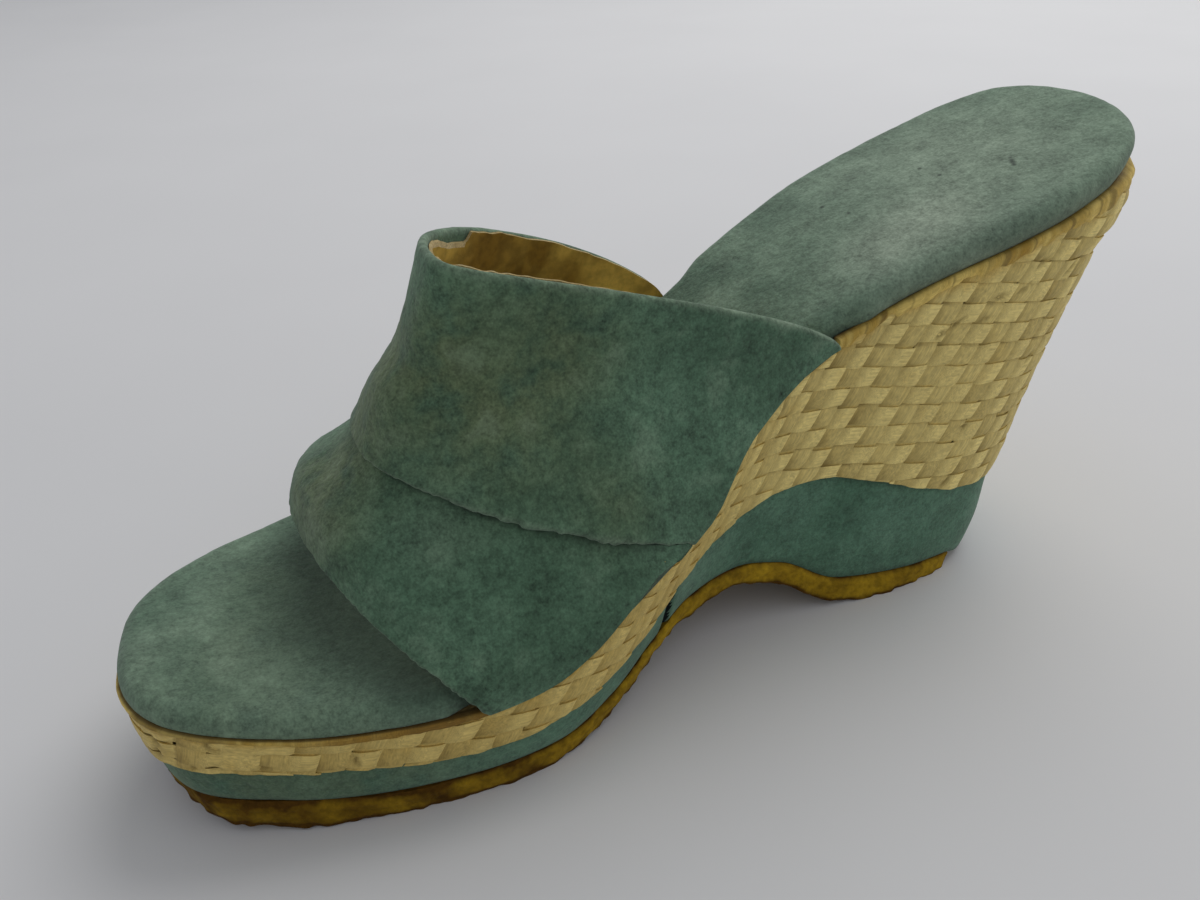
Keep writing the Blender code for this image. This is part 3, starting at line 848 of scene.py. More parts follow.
def raffia(name, pale, grey, golden, dark):
    """Flat straw strips with fibres along them; tones differ from strip to strip, with the weave's relief painted as
    light and shade, and golden where stained.
    """
    made, tree, shader = start_material(name, 0.62, Specular_IOR_Level=0.28)
    tone = attribute(tree, "tone")
    stretch = ((attribute(tree, "along"), 0.08), (attribute(tree, "across"), 1.3), (tone, 40.0))
    fibre_place = add_node(tree, "ShaderNodeCombineXYZ", {
        axis: math(tree, "MULTIPLY", value, factor) for axis, (value, factor) in enumerate(stretch)}).outputs[0]
    fibre = noise(tree, fibre_place, 1.5, 4.0, 0.65)
    place = object_place(tree)
    blotch = noise(tree, place, 150.0, 3.0)
    speckle = noise(tree, place, 900.0, 2.0)
    colour = mix(tree, tone, grey, pale)
    stain = scaled_sum(tree, ramp(tree, blotch, 0.52, 0.78), 0.30, attribute(tree, "stain"))
    colour = mix(tree, stain, colour, golden)
    lines = scaled_sum(tree, fibre, 1.2, scaled_sum(tree, speckle, 0.5, 0.15))
    colour = mix(tree, 1.0, colour, lines, "MULTIPLY")
    # Painted shade from the dip attribute
    colour = mix(tree, attribute(tree, "dip"), colour, dark)
    finish_material(tree, shader, colour, bump(tree, fibre, 0.45, 0.0003))
    return made


def mottled(name, light, dark, scale, roughness, bump_strength, bump_distance, specular=0.3):
    """Plain mottled surface, darker by a point attribute called dark."""
    made, tree, shader = start_material(name, roughness, Specular_IOR_Level=specular)
    place = object_place(tree)
    broad = noise(tree, place, scale, 4.0)
    fine = noise(tree, place, scale * 6, 3.0)
    share = scaled_sum(tree, ramp(tree, broad, 0.35, 0.7), 0.6, attribute(tree, "dark"))
    grain = mix(tree, ramp(tree, fine, 0.3, 0.7), (0.75,) * 3, (1.15,) * 3)
    colour = mix(tree, 1.0, mix(tree, share, light, dark), grain, "MULTIPLY")
    finish_material(tree, shader, colour, bump(tree, fine, bump_strength, bump_distance))
    return made


# Suedes: main, deep, pale and olive colour, wear and roughness of the grain
SUEDES = {
    "upper_suede": (
        (0.096, 0.185, 0.115), (0.064, 0.131, 0.078), (0.172, 0.226, 0.158), (0.106, 0.143, 0.069), 0.28, 1.0),
    "footbed_suede": (
        (0.160, 0.242, 0.167), (0.107, 0.178, 0.120), (0.275, 0.340, 0.255), (0.120, 0.158, 0.087), 0.12, 0.8,
        SPECKS),
    "platform_suede": (
        (0.094, 0.194, 0.127), (0.070, 0.158, 0.099), (0.120, 0.200, 0.142), (0.090, 0.112, 0.056), 0.15, 0.8),
}
# Straws: pale, grey, golden and dark colour
STRAWS = {
    "raffia": ((0.83, 0.67, 0.245), (0.52, 0.40, 0.132), (0.52, 0.345, 0.077), (0.18, 0.12, 0.026)),
    "raffia_edge": ((0.74, 0.55, 0.15), (0.48, 0.32, 0.055), (0.36, 0.20, 0.022), (0.06, 0.035, 0.01)),
}
# Mottled surfaces: light and dark colour, scale, roughness, bump strength and distance, specular
MOTTLES = {
    "slit": ((0.014, 0.022, 0.022), (0.010, 0.014, 0.014), 300.0, 0.95, 0.3, 0.0004, 0.05),
    # Painted shade: the dark core shows through the gaps of the weave
    "wedge_core": ((0.24, 0.17, 0.06), (0.14, 0.10, 0.04), 300.0, 0.9, 0.3, 0.0005),
    "outsole": ((0.42, 0.262, 0.014), (0.080, 0.036, 0.003), 110.0, 0.8, 0.6, 0.0008, 0.1),
    "lining": ((1.0, 0.68, 0.14), (0.30, 0.17, 0.022), 60.0, 0.85, 0.4, 0.0004),
    "raw_edge": ((0.56, 0.45, 0.24), (0.40, 0.30, 0.13), 300.0, 0.9, 0.4, 0.0004),
    # A brighter copy of the raw edge, painted light on the shaded inner face at the crest
    "raw_face_painted_light": ((1.0, 0.84, 0.50), (0.80, 0.62, 0.32), 300.0, 0.9, 0.4, 0.0004),
}
MATERIALS = {name: make(name, *row) for make, table in ((suede, SUEDES), (raffia, STRAWS), (mottled, MOTTLES))
             for name, row in table.items()}


def arch_drop(ring):
    """How much lower the outsole lies where it climbs to the arch, on the inner side."""
    return ARCH_DROP * bell(ring[:, 0] - ARCH_X, ARCH_WIDE) * (ring[:, 1] < 0)


def seam_lift(x):
    """How the seam between outsole and platform leaves the solids' seam, at the toe and at the heel's end."""
    return -OUTSOLE_DROP * toe_share(x) - HEEL_LOW * heel_end(x)


def make_outsole():
    """Amber sole: rough wall, dark glue line at its top and dark worn lower edge."""
    x = top_plan()[:, 0]
    bottom = side_ring(TREAD_Z, inset=OUTSOLE_INSET)
    top = side_ring(OUTSOLE_Z, lift=seam_lift(x), inset=OUTSOLE_INSET)
    rings = [side_ring(TREAD_Z, inset=OUTSOLE_INSET + UNDER_RIM)]
    dark = [np.full(len(x), UNDER_DARK)]
    for share, ring in rings_between(bottom, top, SOLE_ROWS):
        ring[:, 2] -= arch_drop(ring)
        rough = lumps(ring, *OUTSOLE_LUMPS) - TIP_IN * tip_share(ring, TIP)
        rough += (lumps(ring + 70.0, TREAD_RAGS) - TREAD_SET_IN) * bell(share, TREAD_REACH)
        rough -= (BAND_INSET - OUTSOLE_INSET) * ease(share, *SEAM_REACH) + HEEL_IN * heel_end(x)
        ring[:, :2] += outwards(ring) * rough[:, None]
        ring[:, 2] += lumps(ring + 50.0, SEAM_LUMPS) * (0.0 < share < 1.0)
        ring[:, 2] = np.maximum(ring[:, 2], 0.0)
        rings.append(ring)
        dirt = LOW_DIRT * bell(share, LOW_DIRT_REACH) + GLUE_DIRT * bell(1 - share, GLUE_DIRT_REACH)
        # Dirt and painted shade at the toe
        dirt = dirt + TOE_DIRT_AND_SHADE * ease(ring[:, 0], *TOE_DIRT_AND_SHADE_RAMP)
        dark.append(unit(dirt + lumps(ring + 20.0, DIRT_LUMPS) * (PLAIN_DIRT + dirt)))
    points, faces = wall_solid(rings)
    add_piece("outsole_tread", points, faces, "outsole", ["outsole"], {"dark": np.concatenate(dark)})


def slit_share(points):
    """1 in the slit where the ends of the platform's suede meet."""
    lean = points[:, 0] - SLIT_X - SLIT_LEAN * (points[:, 2] - SLIT_Z)
    return bell(lean, SLIT_HALF) * (points[:, 1] < 0)


def make_platform():
    """Suede band round the platform, with rounded edges and the slit where its ends meet."""
    x = top_plan()[:, 0]
    bottom = side_ring(OUTSOLE_Z, lift=SEAT_GAP * 0.4 + seam_lift(x), inset=BAND_INSET)
    bottom[:, 2] -= arch_drop(bottom)
    carry = SUEDE_CARRY * ease(x, *CARRY_RAMP)
    top = side_ring(PLATFORM_Z, lift=SEAT_GAP * 0.5 + carry, inset=BAND_INSET)
    corner = HEEL_OUT * bell(x - HEEL_CORNER, HEEL_CORNER_WIDE)
    rings = []
    for share, ring in rings_between(bottom, top, SOLE_ROWS):
        bulge = BAND_BULGE * (1 - abs(2 * share - 1) ** 4) - BAND_SET_IN + lumps(ring, BAND_LUMPS)
        bulge += TIP_SUEDE_OUT * tip_share(ring, TIP) + corner * ease(share, 0.9, 0.3)
        ring[:, :2] += outwards(ring) * (bulge - SLIT_DEEP * slit_share(ring))[:, None]
        rings.append(ring)
    points, faces = wall_solid(rings)
    slit = slit_share(points)
    # Painted shade along the top edge under the raffia, and a dark line along the lower edge
    edges = np.repeat([BAND_DARK_LOW] + [0.0] * (SOLE_ROWS - 1) + [BAND_PAINTED_SHADE_TOP], len(x))
    in_slit = [slit[list(face)].mean() > SLIT_SHOWS for face in faces]
    add_piece("platform_band", points, faces, "platform", ["platform_suede", "slit"],
              suede_values(points, np.maximum(slit, edges)), in_slit)


def make_footbed():
    """Padded footbed: rolled edge, crowned top, lower edge darkened by dirt and painted shade, and painted shade
    under the upper.
    """
    plan = top_plan()
    edge = inset_plan(plan, footbed_inset(plan))
    tuck = HEEL_TUCK * ease(edge[:, 0], *TUCK_RAMP) + BACK_TUCK * back_share(edge[:, 0])
    angles = np.linspace(0.0, np.pi / 2, ROLL_STEPS)
    roll = [(FOOTBED_ROLL * (1 - np.cos(angle)), 0.0, 1.0 + np.sin(angle)) for angle in angles]
    rows = []
    for inset, tucked, climb in FOOTBED_WALL + roll:
        ring = inset_plan(edge, inset + tuck * tucked)
        share = ring[:, 0] / LENGTH
        straight = FOOTBED_TOE + (COVER_HEEL_THICK - FOOTBED_TOE) * share - FOOTBED_ROLL - SEAT_GAP * 0.5
        height = straight * min(climb, 1.0) + FOOTBED_ROLL * max(climb - 1.0, 0.0)
        rows.append(np.column_stack((ring, WEDGE_Z(share) + SEAT_GAP * 0.5 + height)))
    count = len(edge)
    half = count // 2
    medial, lateral = rows[-1][:half], rows[-1][half:][::-1]
    width = norm(medial - lateral, axis=1)
    inner = []
    for across in np.linspace(0.0, 1.0, FOOTBED_LINES)[1:-1]:
        line = medial + (lateral - medial) * across
        line[:, 2] += FOOTBED_CROWN * width / width.max() * (1 - (2 * across - 1) ** 2)
        inner.append(line)
    points = np.vstack(rows + inner)
    faces = loop_faces(len(rows), count) + cross_cap(0, count)
    start = (len(rows) - 1) * count
    lines = [start + np.arange(half)]
    lines += [len(rows) * count + i * half + np.arange(half) for i in range(len(inner))]
    lines.append(start + count - 1 - np.arange(half))
    for a, b in zip(lines, lines[1:]):
        faces += np.stack((a[:-1], a[1:], b[1:], b[:-1]), axis=-1).tolist()
    faces += [[line[0] for line in lines], [line[-1] for line in lines[::-1]]]
    points[:, 2] += lumps(points, *FOOTBED_LUMPS) * (np.arange(len(points)) >= count)
    opening = upper_form(0.0, np.linspace(0.0, 1.0, OPENING_POINTS))
    ahead = np.interp(points[:, 1], opening[:, 1], opening[:, 0]) - points[:, 0]
    reach = np.maximum(ahead, 0.0) * (1 + lumps(points, SHADOW_LUMPS))
    covered = ease(points[:, 0], *COVERED_RAMP)
    # Dirt with painted shade along the footbed's lower edge towards the heel
    plain_row, full_row = DIRT_AND_SHADE_FADE
    dirt_and_shade = unit((plain_row - np.arange(len(points)) // count) / (plain_row - full_row)) * ease(points[:, 0], *DIRT_AND_SHADE_RAMP)
    # Painted shadow of the upper on the footbed near its front edge, fading out towards the heel
    deep = DEEP_SHADOW * bell(reach, DEEP_SHADOW_REACH) * covered
    values = suede_values(points, deep + DIRT_AND_SHADE_DARK * dirt_and_shade)
    values["shade"] = unit(values["shade"] + SHADOW * bell(reach, SHADOW_REACH) * covered)
    values["olive"] = unit(values["olive"] + DIRT_AND_SHADE_OLIVE * dirt_and_shade)
    piece = add_piece("footbed", points, faces, "insole", ["footbed_suede"], values, sharp=80.0)


def lap_lift(around):
    """How far the rear band lies off the inner form, over the front band."""
    return WALL * (LAP_AT_FOOT + (1 - LAP_AT_FOOT) * ease(from_foot(around), 0.0, LAP_FLARE))


def band_profile(first, last):
    """Closed profile of a band: along, and across from -1 on its inside to 1 on its outside."""
    angles = np.linspace(np.pi / 2, -np.pi / 2, RIM_STEPS + 1)[1:-1]
    flat = np.linspace(first + RIM, last - RIM, BAND_STEPS)
    rear = last - RIM + RIM * np.cos(angles)
    front = first + RIM - RIM * np.cos(angles)
    face = np.ones(BAND_STEPS)
    return (np.concatenate((flat, rear, flat[::-1], front)),
            np.concatenate((face, np.sin(angles), -face, -np.sin(angles))))


def band_height(points, around):
    """Folds and soft lumps of the upper, fading out at its feet."""
    return (fold_height(points) + lumps(points, *UPPER_LUMPS)) * ease(from_foot(around), 0.0, FOOT_FADE)


def band_points(along, around, lift, across):
    """Points of a band of the upper, with its folds, and its hem over the raffia."""
    points = upper_form(along, around)
    nap = lumps(points, NAP_LUMPS) * (across > -0.5) * ease(from_foot(around), 0.0, FOOT_FADE)
    points = points + upper_normals(along, around) * (lift + band_height(points, around) + nap)[..., None]
    outside = (across + 1) / 2
    for foot in (0, -1):
        points[foot, :, 2] = WEDGE_Z(points[foot, :, 0] / LENGTH) + SEAT_GAP
    for foot, side in ((0, -1), (-1, 1)):
        here = around < 0.5 if side < 0 else around > 0.5
        reach = points[..., 2] - points[foot, :, 2]
        drop = from_table(points[foot, :, 0], HEM_DROP) if side < 0 else HEM_DROP_OUTER
        points[..., 1] += side * HEM_PUSH * bell(reach, HEM_REACH) * here * outside
        points[..., 2] -= drop * bell(reach, HEM_DROP_REACH) * here * np.where(np.less(drop, 0), 1.0, outside)
    return points


def make_band(name, first, last, lifts, wear_and_highlight):
    """One band of the upper as a closed wall with rounded edges, and with shade in the lap of the front one."""
    along, across = band_profile(first, last)
    along, around = np.meshgrid(along, np.linspace(0.0, 1.0, RIB_STEPS + 1))
    across = np.broadcast_to(across, along.shape)
    ragged = line_lumps(around * RAGS, *RIM_RAGS, own=60.0 * first)
    along = along + ragged * bell(along - first, RAGS_REACH)
    inner, outer = lifts(along, around)
    lift = (inner + outer) / 2 + (outer - inner) / 2 * across
    points = band_points(along, around, lift, across).reshape(-1, 3)
    lap = ease(from_foot(around), 0.0, LAP_SHADE_FADE) * ease(along, LAP_EDGE - 0.02, LAP_EDGE)
    values = suede_values(points, LAP_SHADE * lap.ravel() if last < 1.0 else 0.0)
    # Paler rims: wear with a painted highlight along the edges
    rim = bell(np.minimum(along - first, last - along), RIM_WEAR_AND_HIGHLIGHT_REACH)
    values["wear_and_highlight"] = unit(values["wear_and_highlight"] + wear_and_highlight * rim.ravel())
    add_piece(name, points, tube_faces(*along.shape), "upper", ["upper_suede"], values)


def front_lifts(along, around):
    """Inner and outer lift of the front band, which thins out under the rear band."""
    outer = WALL + (np.minimum(WALL, lap_lift(around)) - LAP_PLAY - WALL) * ease(along, *LAP_THIN)
    return np.zeros_like(along), np.maximum(outer, THINNEST)


def rear_lifts(along, around):
    """Inner and outer lift of the rear band."""
    lap = lap_lift(around)
    return lap, lap + WALL


def make_lining():
    """Lining inside both bands, with a pale raw edge at the collar, a brighter copy of it painted as light on the
    inner face at the crest, and painted shade deep inside.
    """
    along, around = np.meshgrid(np.linspace(*LINING_ALONG, LINING_STEPS), np.linspace(*LINING_AROUND, RIB_STEPS + 1))
    share = (along - along.min()) / (along.max() - along.min())
    ragged = line_lumps(around * LINING_RAGS, *COLLAR_RAGS)
    step = STEP_LEAST + STEP_MORE * ease(around, *STEP_GROWS)
    step = step * ease(around, *STEP_END) * ease(around, *STEP_START)
    near = (NEAR_LEAST + NEAR_MORE * ease(around, *NEAR_DROP)) * ease(around, *NEAR_RIM)
    along = along - (ragged + step + near) * share ** EDGE_GATHER
    form = upper_form(along, around)
    normals = upper_normals(along, around)
    lift = (lap_lift(around) * ease(along, *LINING_LAP) - LINING_PLAY + band_height(form, around))[..., None]
    loops = np.concatenate((form + normals * lift, (form + normals * (lift - LINING_THICK))[:, ::-1]), axis=1)
    rows, columns = loops.shape[:2]
    row, column = np.divmod(np.arange((rows - 1) * columns), columns)
    past_edge = column - columns // 2
    # Faces at the crest that take the brighter painted-light copy of the raw edge
    raw_face_painted_light = (past_edge == 0) & (row / rows > RAW_FACE_PAINTED_LIGHT[0]) & (row / rows < RAW_FACE_PAINTED_LIGHT[1])
    rim = np.where((past_edge == -1) | (past_edge == -2), 1, np.where(raw_face_painted_light, 2, 0))
    points = loops.reshape(-1, 3)
    # Random streaks, with painted shade towards the front and deep inside under the crest
    dark = lumps(points * LINING_STREAK, STREAK_LUMPS) + CREST_DARK * ease(points[:, 0], *LINING_RAMP)
    dark += LINING_DARK * bell(points[:, 0] - LINING_DARK_X, LINING_DARK_WIDE)
    add_piece("upper_lining", points, tube_faces(rows, columns), "upper",
              ["lining", "raw_edge", "raw_face_painted_light"], {"dark": unit(dark)}, [*rim, 0, 0])


def loop_curve(knots, values):
    """Curve through values round a loop, by length along it."""
    closed = np.concatenate((values, values[:1]))

    def curve(at):
        at = np.mod(at, knots[-1])
        if closed.ndim == 1:
            return np.interp(at, knots, closed)
        return np.stack([np.interp(at, knots, column) for column in closed.T], axis=-1)

    return curve


Wall = namedtuple("Wall", "low high normal_low normal_high row_low row_high length")


def wall_frame():
    """The raffia's wall, by length along it: edges, outward normals and the edges' heights across the rows."""
    rings = (side_ring(PLATFORM_Z, lift=SEAT_GAP, stations=WALL_STATIONS), side_ring(WEDGE_Z, stations=WALL_STATIONS))
    low, high = rings
    middle = (low + high) / 2
    step = norm((np.roll(middle, -1, axis=0) - middle)[:, :2], axis=1)
    at = np.concatenate(([0.0], np.cumsum(step)))
    normals = [np.cross(np.roll(ring, -1, axis=0) - np.roll(ring, 1, axis=0), high - low) for ring in rings]
    normals = [normal / norm(normal, axis=1)[:, None] for normal in normals]
    rows = [ring[:, 2] + ROW_FALL * ring[:, 0] for ring in rings]
    return Wall(*(loop_curve(at, values) for values in (*rings, *normals, *rows)), at[-1])


RAFFIA_WALL = wall_frame()
WARP_STEP = RAFFIA_WALL.length / WARP_COUNT


def top_x(at):
    """x of the wall's upper edge at a length along it."""
    return RAFFIA_WALL.high(at)[..., 0]


def wall_place(at, row):
    """Points for the noise of the wall."""
    return np.stack((at, row, np.zeros_like(row)), axis=-1)


def wall_point(at, row, lift):
    """Point of the wall at a length along it and a height across the rows, lifted outwards."""
    low, high, row_low = RAFFIA_WALL.low(at), RAFFIA_WALL.high(at), RAFFIA_WALL.row_low(at)
    share = (row - row_low) / (RAFFIA_WALL.row_high(at) - row_low)
    over = np.maximum(share - 1, 0.0) * norm(high - low, axis=-1)
    back = back_share(high[..., 0])
    lift = lift + ease(high[..., 0], *SWELL_RAMP) * from_table(share, SWELL)
    lift = lift + back * lumps(wall_place(at, row), BACK_LUMPS) - HEM_LEAN * over * (1 - back)
    lift = lift + TIP_OUT * tip_share(high, TIP) - TIP_OUTER_IN * tip_share(high, TIP_OUTER)
    share = share[..., None]
    normal = RAFFIA_WALL.normal_low(at) * (1 - share) + RAFFIA_WALL.normal_high(at) * share
    normal /= norm(normal, axis=-1, keepdims=True)
    return low + (high - low) * share + normal * lift[..., None]


class StripMesh:
    """Collects closed flat strips into one mesh."""

    def __init__(self):
        self.points = []
        self.faces = []
        self.values = {"along": [], "across": [], "tone": [], "dip": [], "stain": []}
        self.count = 0

    def add(self, sections, **values):
        """One more strip, by its sections and the values of their points."""
        rows, columns = sections.shape[:2]
        self.faces += [[self.count + i for i in face] for face in tube_faces(rows, columns)]
        self.points.append(sections.reshape(-1, 3))
        for key, value in values.items():
            self.values[key].append(np.broadcast_to(value, (rows, columns)).ravel())
        self.count += rows * columns

    def piece(self, name, material):
        """The mesh of all strips."""
        values = {key: np.concatenate(value) for key, value in self.values.items()}
        add_piece(name, np.vstack(self.points), self.faces, "wedge", [material], values)


# A strip's section: place across it from -1 to 1, and 1 on its face or -1 on its back
SECTION_Q = np.concatenate((np.linspace(-1.0, 1.0, STRIP_POINTS), [0.92, -0.92]))
SECTION_SIDE = np.concatenate((np.ones(STRIP_POINTS), [-1.0, -1.0]))


def chart_weave():
    """1 where the weft lies on top and -1 where the warp does, by row and warp strip: plain, with a few slips."""
    row, strip = np.indices((ROW_COUNT + 2, WARP_COUNT))
    chart = np.where((row + strip) % 2 == 1, 1.0, -1.0)
    for slipped, strips, state in WEAVE_SLIPS:
        chart[slipped, list(strips)] = state
    return chart


CHART = chart_weave()


def turn_over(share, place, steep):
    """Soft step from 0 to 1 about a place between two crossings."""
    start = np.tanh(-steep * place)
    return (np.tanh(steep * (share - place)) - start) / (np.tanh(steep * (1 - place)) - start)


def toe_slip(at):
    """How far the warp strips have slipped, in strips."""
    return TOE_SLIP * bell(at - TOE_SLIP_AT, TOE_SLIP_WIDE)


def warp_phase(at, row):
    """Number of the warp strip at a place on the wall, with the share of its width."""
    return (at - WARP_LEAN * (row - WARP_HEIGHT) - WARP_FIRST) / WARP_STEP - toe_slip(at)


def weft_wave(phase, row):
    """How high a weft strip of a row lies, from -1 to 1: it turns up softly and down steeply."""
    first = np.floor(phase - 0.5).astype(int)
    before, after = CHART[row, first % WARP_COUNT], CHART[row, (first + 1) % WARP_COUNT]
    share = phase - 0.5 - first
    fall = WEFT_FALL[0] + FALL_SHIFT * SHIFTS[row, first % WARP_COUNT]
    step = np.where(after < before, turn_over(share, fall, WEFT_FALL[1]), turn_over(share, *WEFT_RISE))
    return before + (after - before) * step


def warp_wave(phase, strip):
    """How high a warp strip lies, from -1 to 1; phase counts rows."""
    first = np.clip(np.floor(phase - 0.5).astype(int), 0, ROW_COUNT)
    before, after = CHART[first, strip], CHART[first + 1, strip]
    return -(before + (after - before) * turn_over(unit(phase - 0.5 - first), *WARP_TURN))


def hole_depth(at, row):
    """Dark gaps in the weave, 1 at their middle."""
    total = np.zeros(np.broadcast(at, row).shape)
    half_way = RAFFIA_WALL.length / 2
    for hole in HOLES:
        up = row - hole.row
        side = np.mod(at - hole.at - hole.lean * up + half_way, RAFFIA_WALL.length) - half_way
        total = np.maximum(total, bell(np.hypot(side / hole.wide, up / hole.tall), HOLE_SPREAD))
    return total


def glue_stain(at, row):
    """Golden stain along the top edge, more at the heel, and a browner tone at the toe."""
    heel = ease(top_x(at), *GLUE_RAMP)
    tall = (GLUE_TALL + GLUE_TALL_HEEL * heel) * (0.8 + line_lumps(at, *GLUE_RAGS))
    edge = ease((top_line(at) - row) / tall, 1.0, 0.0) * (GLUE_STAIN + GLUE_STAIN_HEEL * heel)
    return unit(edge + TOE_STAIN * (1 - heel))


def hem_line(at):
    """Height across the rows of the raffia's uneven lower edge."""
    x = RAFFIA_WALL.low(at)[..., 0]
    rough = line_lumps(at, *HEM_RAGS) * (HEM_RAGS_PLAIN + HEM_RAGS_TOE * toe_share(x))
    return RAFFIA_WALL.row_low(at) + from_table(x, LOW_RISE) - 0.15 + rough


def top_line(at):
    """Height across the rows of the raffia's upper edge."""
    x = top_x(at)
    medial = np.mod(at, RAFFIA_WALL.length) < RAFFIA_WALL.length / 2
    return RAFFIA_WALL.row_high(at) + from_table(x, TOP_RISE) * medial - BACK_DROP * back_share(x)


def settled(wave, above):
    """Wave of a strip, flatter near the raffia's lower edge."""
    return wave * (1 - SETTLE * bell(above, SETTLE_REACH))


def strip_runs(inside):
    """First index and length of each run of a strip that lies inside the wall, on a line or a loop."""
    starts = np.flatnonzero(inside & ~np.roll(inside, 1))
    return [(start, np.flatnonzero(~np.roll(inside, -start))[0]) for start in starts]


def strip_lift(wave, hole):
    """Lift of a strip's section points from its wave and the gaps in the weave."""
    crown = STRIP_CROWN * (1 - SECTION_Q ** 2) * (SECTION_SIDE > 0)
    return STRIP_WAVE * wave + crown + SECTION_SIDE * STRIP_THICK / 2 - HOLE_DEPTH * hole


def strip_tone(tone, at, row):
    """Tone of a strip; how clearly the floats stand out differs from place to place."""
    place = wall_place(at, row)
    clear = CLEAR + lumps(place, CLEAR_BROAD) + lumps(place + 300.0, CLEAR_FINE)
    return unit(TONE_MIDDLE + (tone - TONE_MIDDLE) * clear), clear


def strip_dip(shade, hole):
    """Painted shade of a strip beside floats and in gaps."""
    return np.clip(np.maximum(shade, HOLE_SHADE * hole), 0.0, DARKEST)


def make_weft():
    """Strips that run along the wall in straight rows."""
    strips = StripMesh()
    samples = int(RAFFIA_WALL.length / STRIP_STEP)
    length = RAFFIA_WALL.length / samples
    around = np.arange(samples) * length
    half = ROW_PITCH / 2 * WEFT_WIDTH
    for row in range(ROW_COUNT):
        middle = ROW_FIRST + (row + 0.5) * ROW_PITCH
        reach = half - CUT_MARGIN
        inside = (middle + reach > hem_line(around)) & (middle - reach < top_line(around))
        for first, count in strip_runs(inside):
            if count < SHORTEST_RUN:
                continue
            line = (around[first] + np.arange(count) * length)[:, None]
            width = half * (1 + line_lumps(line, WEFT_WIDEN, own=row))
            rise = middle + line_lumps(line, *WEFT_SHIFT, own=row) + SECTION_Q * width
            low_edge = hem_line(line)
            rise = np.clip(rise, low_edge, top_line(line) - 0.05) + CUT_SPREAD * SECTION_Q
            at = np.broadcast_to(line, rise.shape)
            phase = warp_phase(at, rise)
            hole = hole_depth(at, rise)
            wave = settled(weft_wave(phase, row), rise - low_edge)
            number = np.floor(phase).astype(int)
            beside = np.where(phase - number < 0.4, number - 1, number + 1)
            owner = np.where(CHART[row, number % WARP_COUNT] > 0, number, beside)
            place = phase - owner
            alone = CHART[row, (owner - 1) % WARP_COUNT] < 0
            # Painted shade where a float comes up from under a warp strip and under its lower edge
            start = ease(place, 0.6, -0.15) * alone
            low = ease(-SECTION_Q, 0.5, 1.0) * ease(place, 0.4, 0.9)
            tone = WEFT_TONE + WEFT_TONE_SPREAD * (TONES[row, owner % WARP_COUNT] - 0.5) - START_SHADE * start
            tone, _ = strip_tone(tone + line_lumps(line, WEFT_DRIFT, own=row), at, rise)
            strips.add(wall_point(at, rise, strip_lift(wave, hole)), along=line + 37.0 * row,
                       across=SECTION_Q * half, tone=tone, stain=glue_stain(at, rise),
                       dip=strip_dip(LOW_SHADE * low, hole))
    strips.piece("raffia_weft", "raffia")


def make_warp():
    """Strips that climb the wall and lean to the heel, with painted shade beside the ends of the floats and along
    their left edges.
    """
    strips = StripMesh()
    half = WARP_STEP / 2
    line = ROW_FIRST + np.arange(0.0, ROW_COUNT * ROW_PITCH, STRIP_STEP)[:, None]
    for strip in range(WARP_COUNT):
        middle = WARP_FIRST + (strip + 0.5) * WARP_STEP + WARP_LEAN * (line - WARP_HEIGHT)
        middle = middle + toe_slip(np.mod(middle, RAFFIA_WALL.length)) * WARP_STEP
        whole = middle + SECTION_Q * half + line_lumps(line, WARP_SHIFT, own=strip)
        low_edge = hem_line(whole) + 0.15
        high_edge = top_line(whole) - 0.1
        inside = ((line > low_edge) & (line < high_edge)).any(axis=1)
        inside[[0, -1]] = False
        for first, count in strip_runs(inside):
            part = slice(first - 1, first + count + 1)
            at = whole[part]
            rise = np.clip(np.broadcast_to(line[part], at.shape), low_edge[part], high_edge[part])
            phase = (rise - ROW_FIRST) / ROW_PITCH
            wave = settled(warp_wave(phase, strip), rise - low_edge[part])
            hole = hole_depth(at, rise)
            number = np.clip(np.floor(phase).astype(int), 0, ROW_COUNT)
            low = 1 - (phase - number)
            tuck = ((1 - SECTION_Q) / 2) ** 2 * (wave + 1) / 2
            # Painted shade beside a float's end, and a golden painted shade along the strip's left edge
            notch = bell(SECTION_Q + 1, 0.30 + 0.75 * low) * (0.2 + 0.8 * low)
            broad = ease(SECTION_Q, 0.5, -1.0)
            tone = WARP_TONE + WARP_TONE_SPREAD * (TONES[number, strip] - 0.5)
            tone, clear = strip_tone(tone + line_lumps(rise, WARP_DRIFT, own=strip), at, rise)
            strips.add(wall_point(at, rise, strip_lift(wave, hole) - WARP_TUCK * tuck), along=rise + 53.0 * strip,
                       across=SECTION_Q * half, tone=tone,
                       stain=unit(glue_stain(at, rise) + 0.15 * broad),
                       dip=strip_dip(NOTCH_SHADE * notch * clear, hole))
    strips.piece("raffia_warp", "raffia")


def make_core():
    """Dark core behind the weave, its dark colour painted shade seen through the gaps between the strips."""
    bottom = side_ring(PLATFORM_Z, lift=SEAT_GAP, inset=CORE_INSET)
    top = side_ring(WEDGE_Z, inset=CORE_INSET)
    points, faces = wall_solid([ring for _, ring in rings_between(bottom, top, CORE_ROWS)])
    add_piece("wedge_core", points, faces, "wedge", ["wedge_core"], {"dark": np.zeros(len(points))})


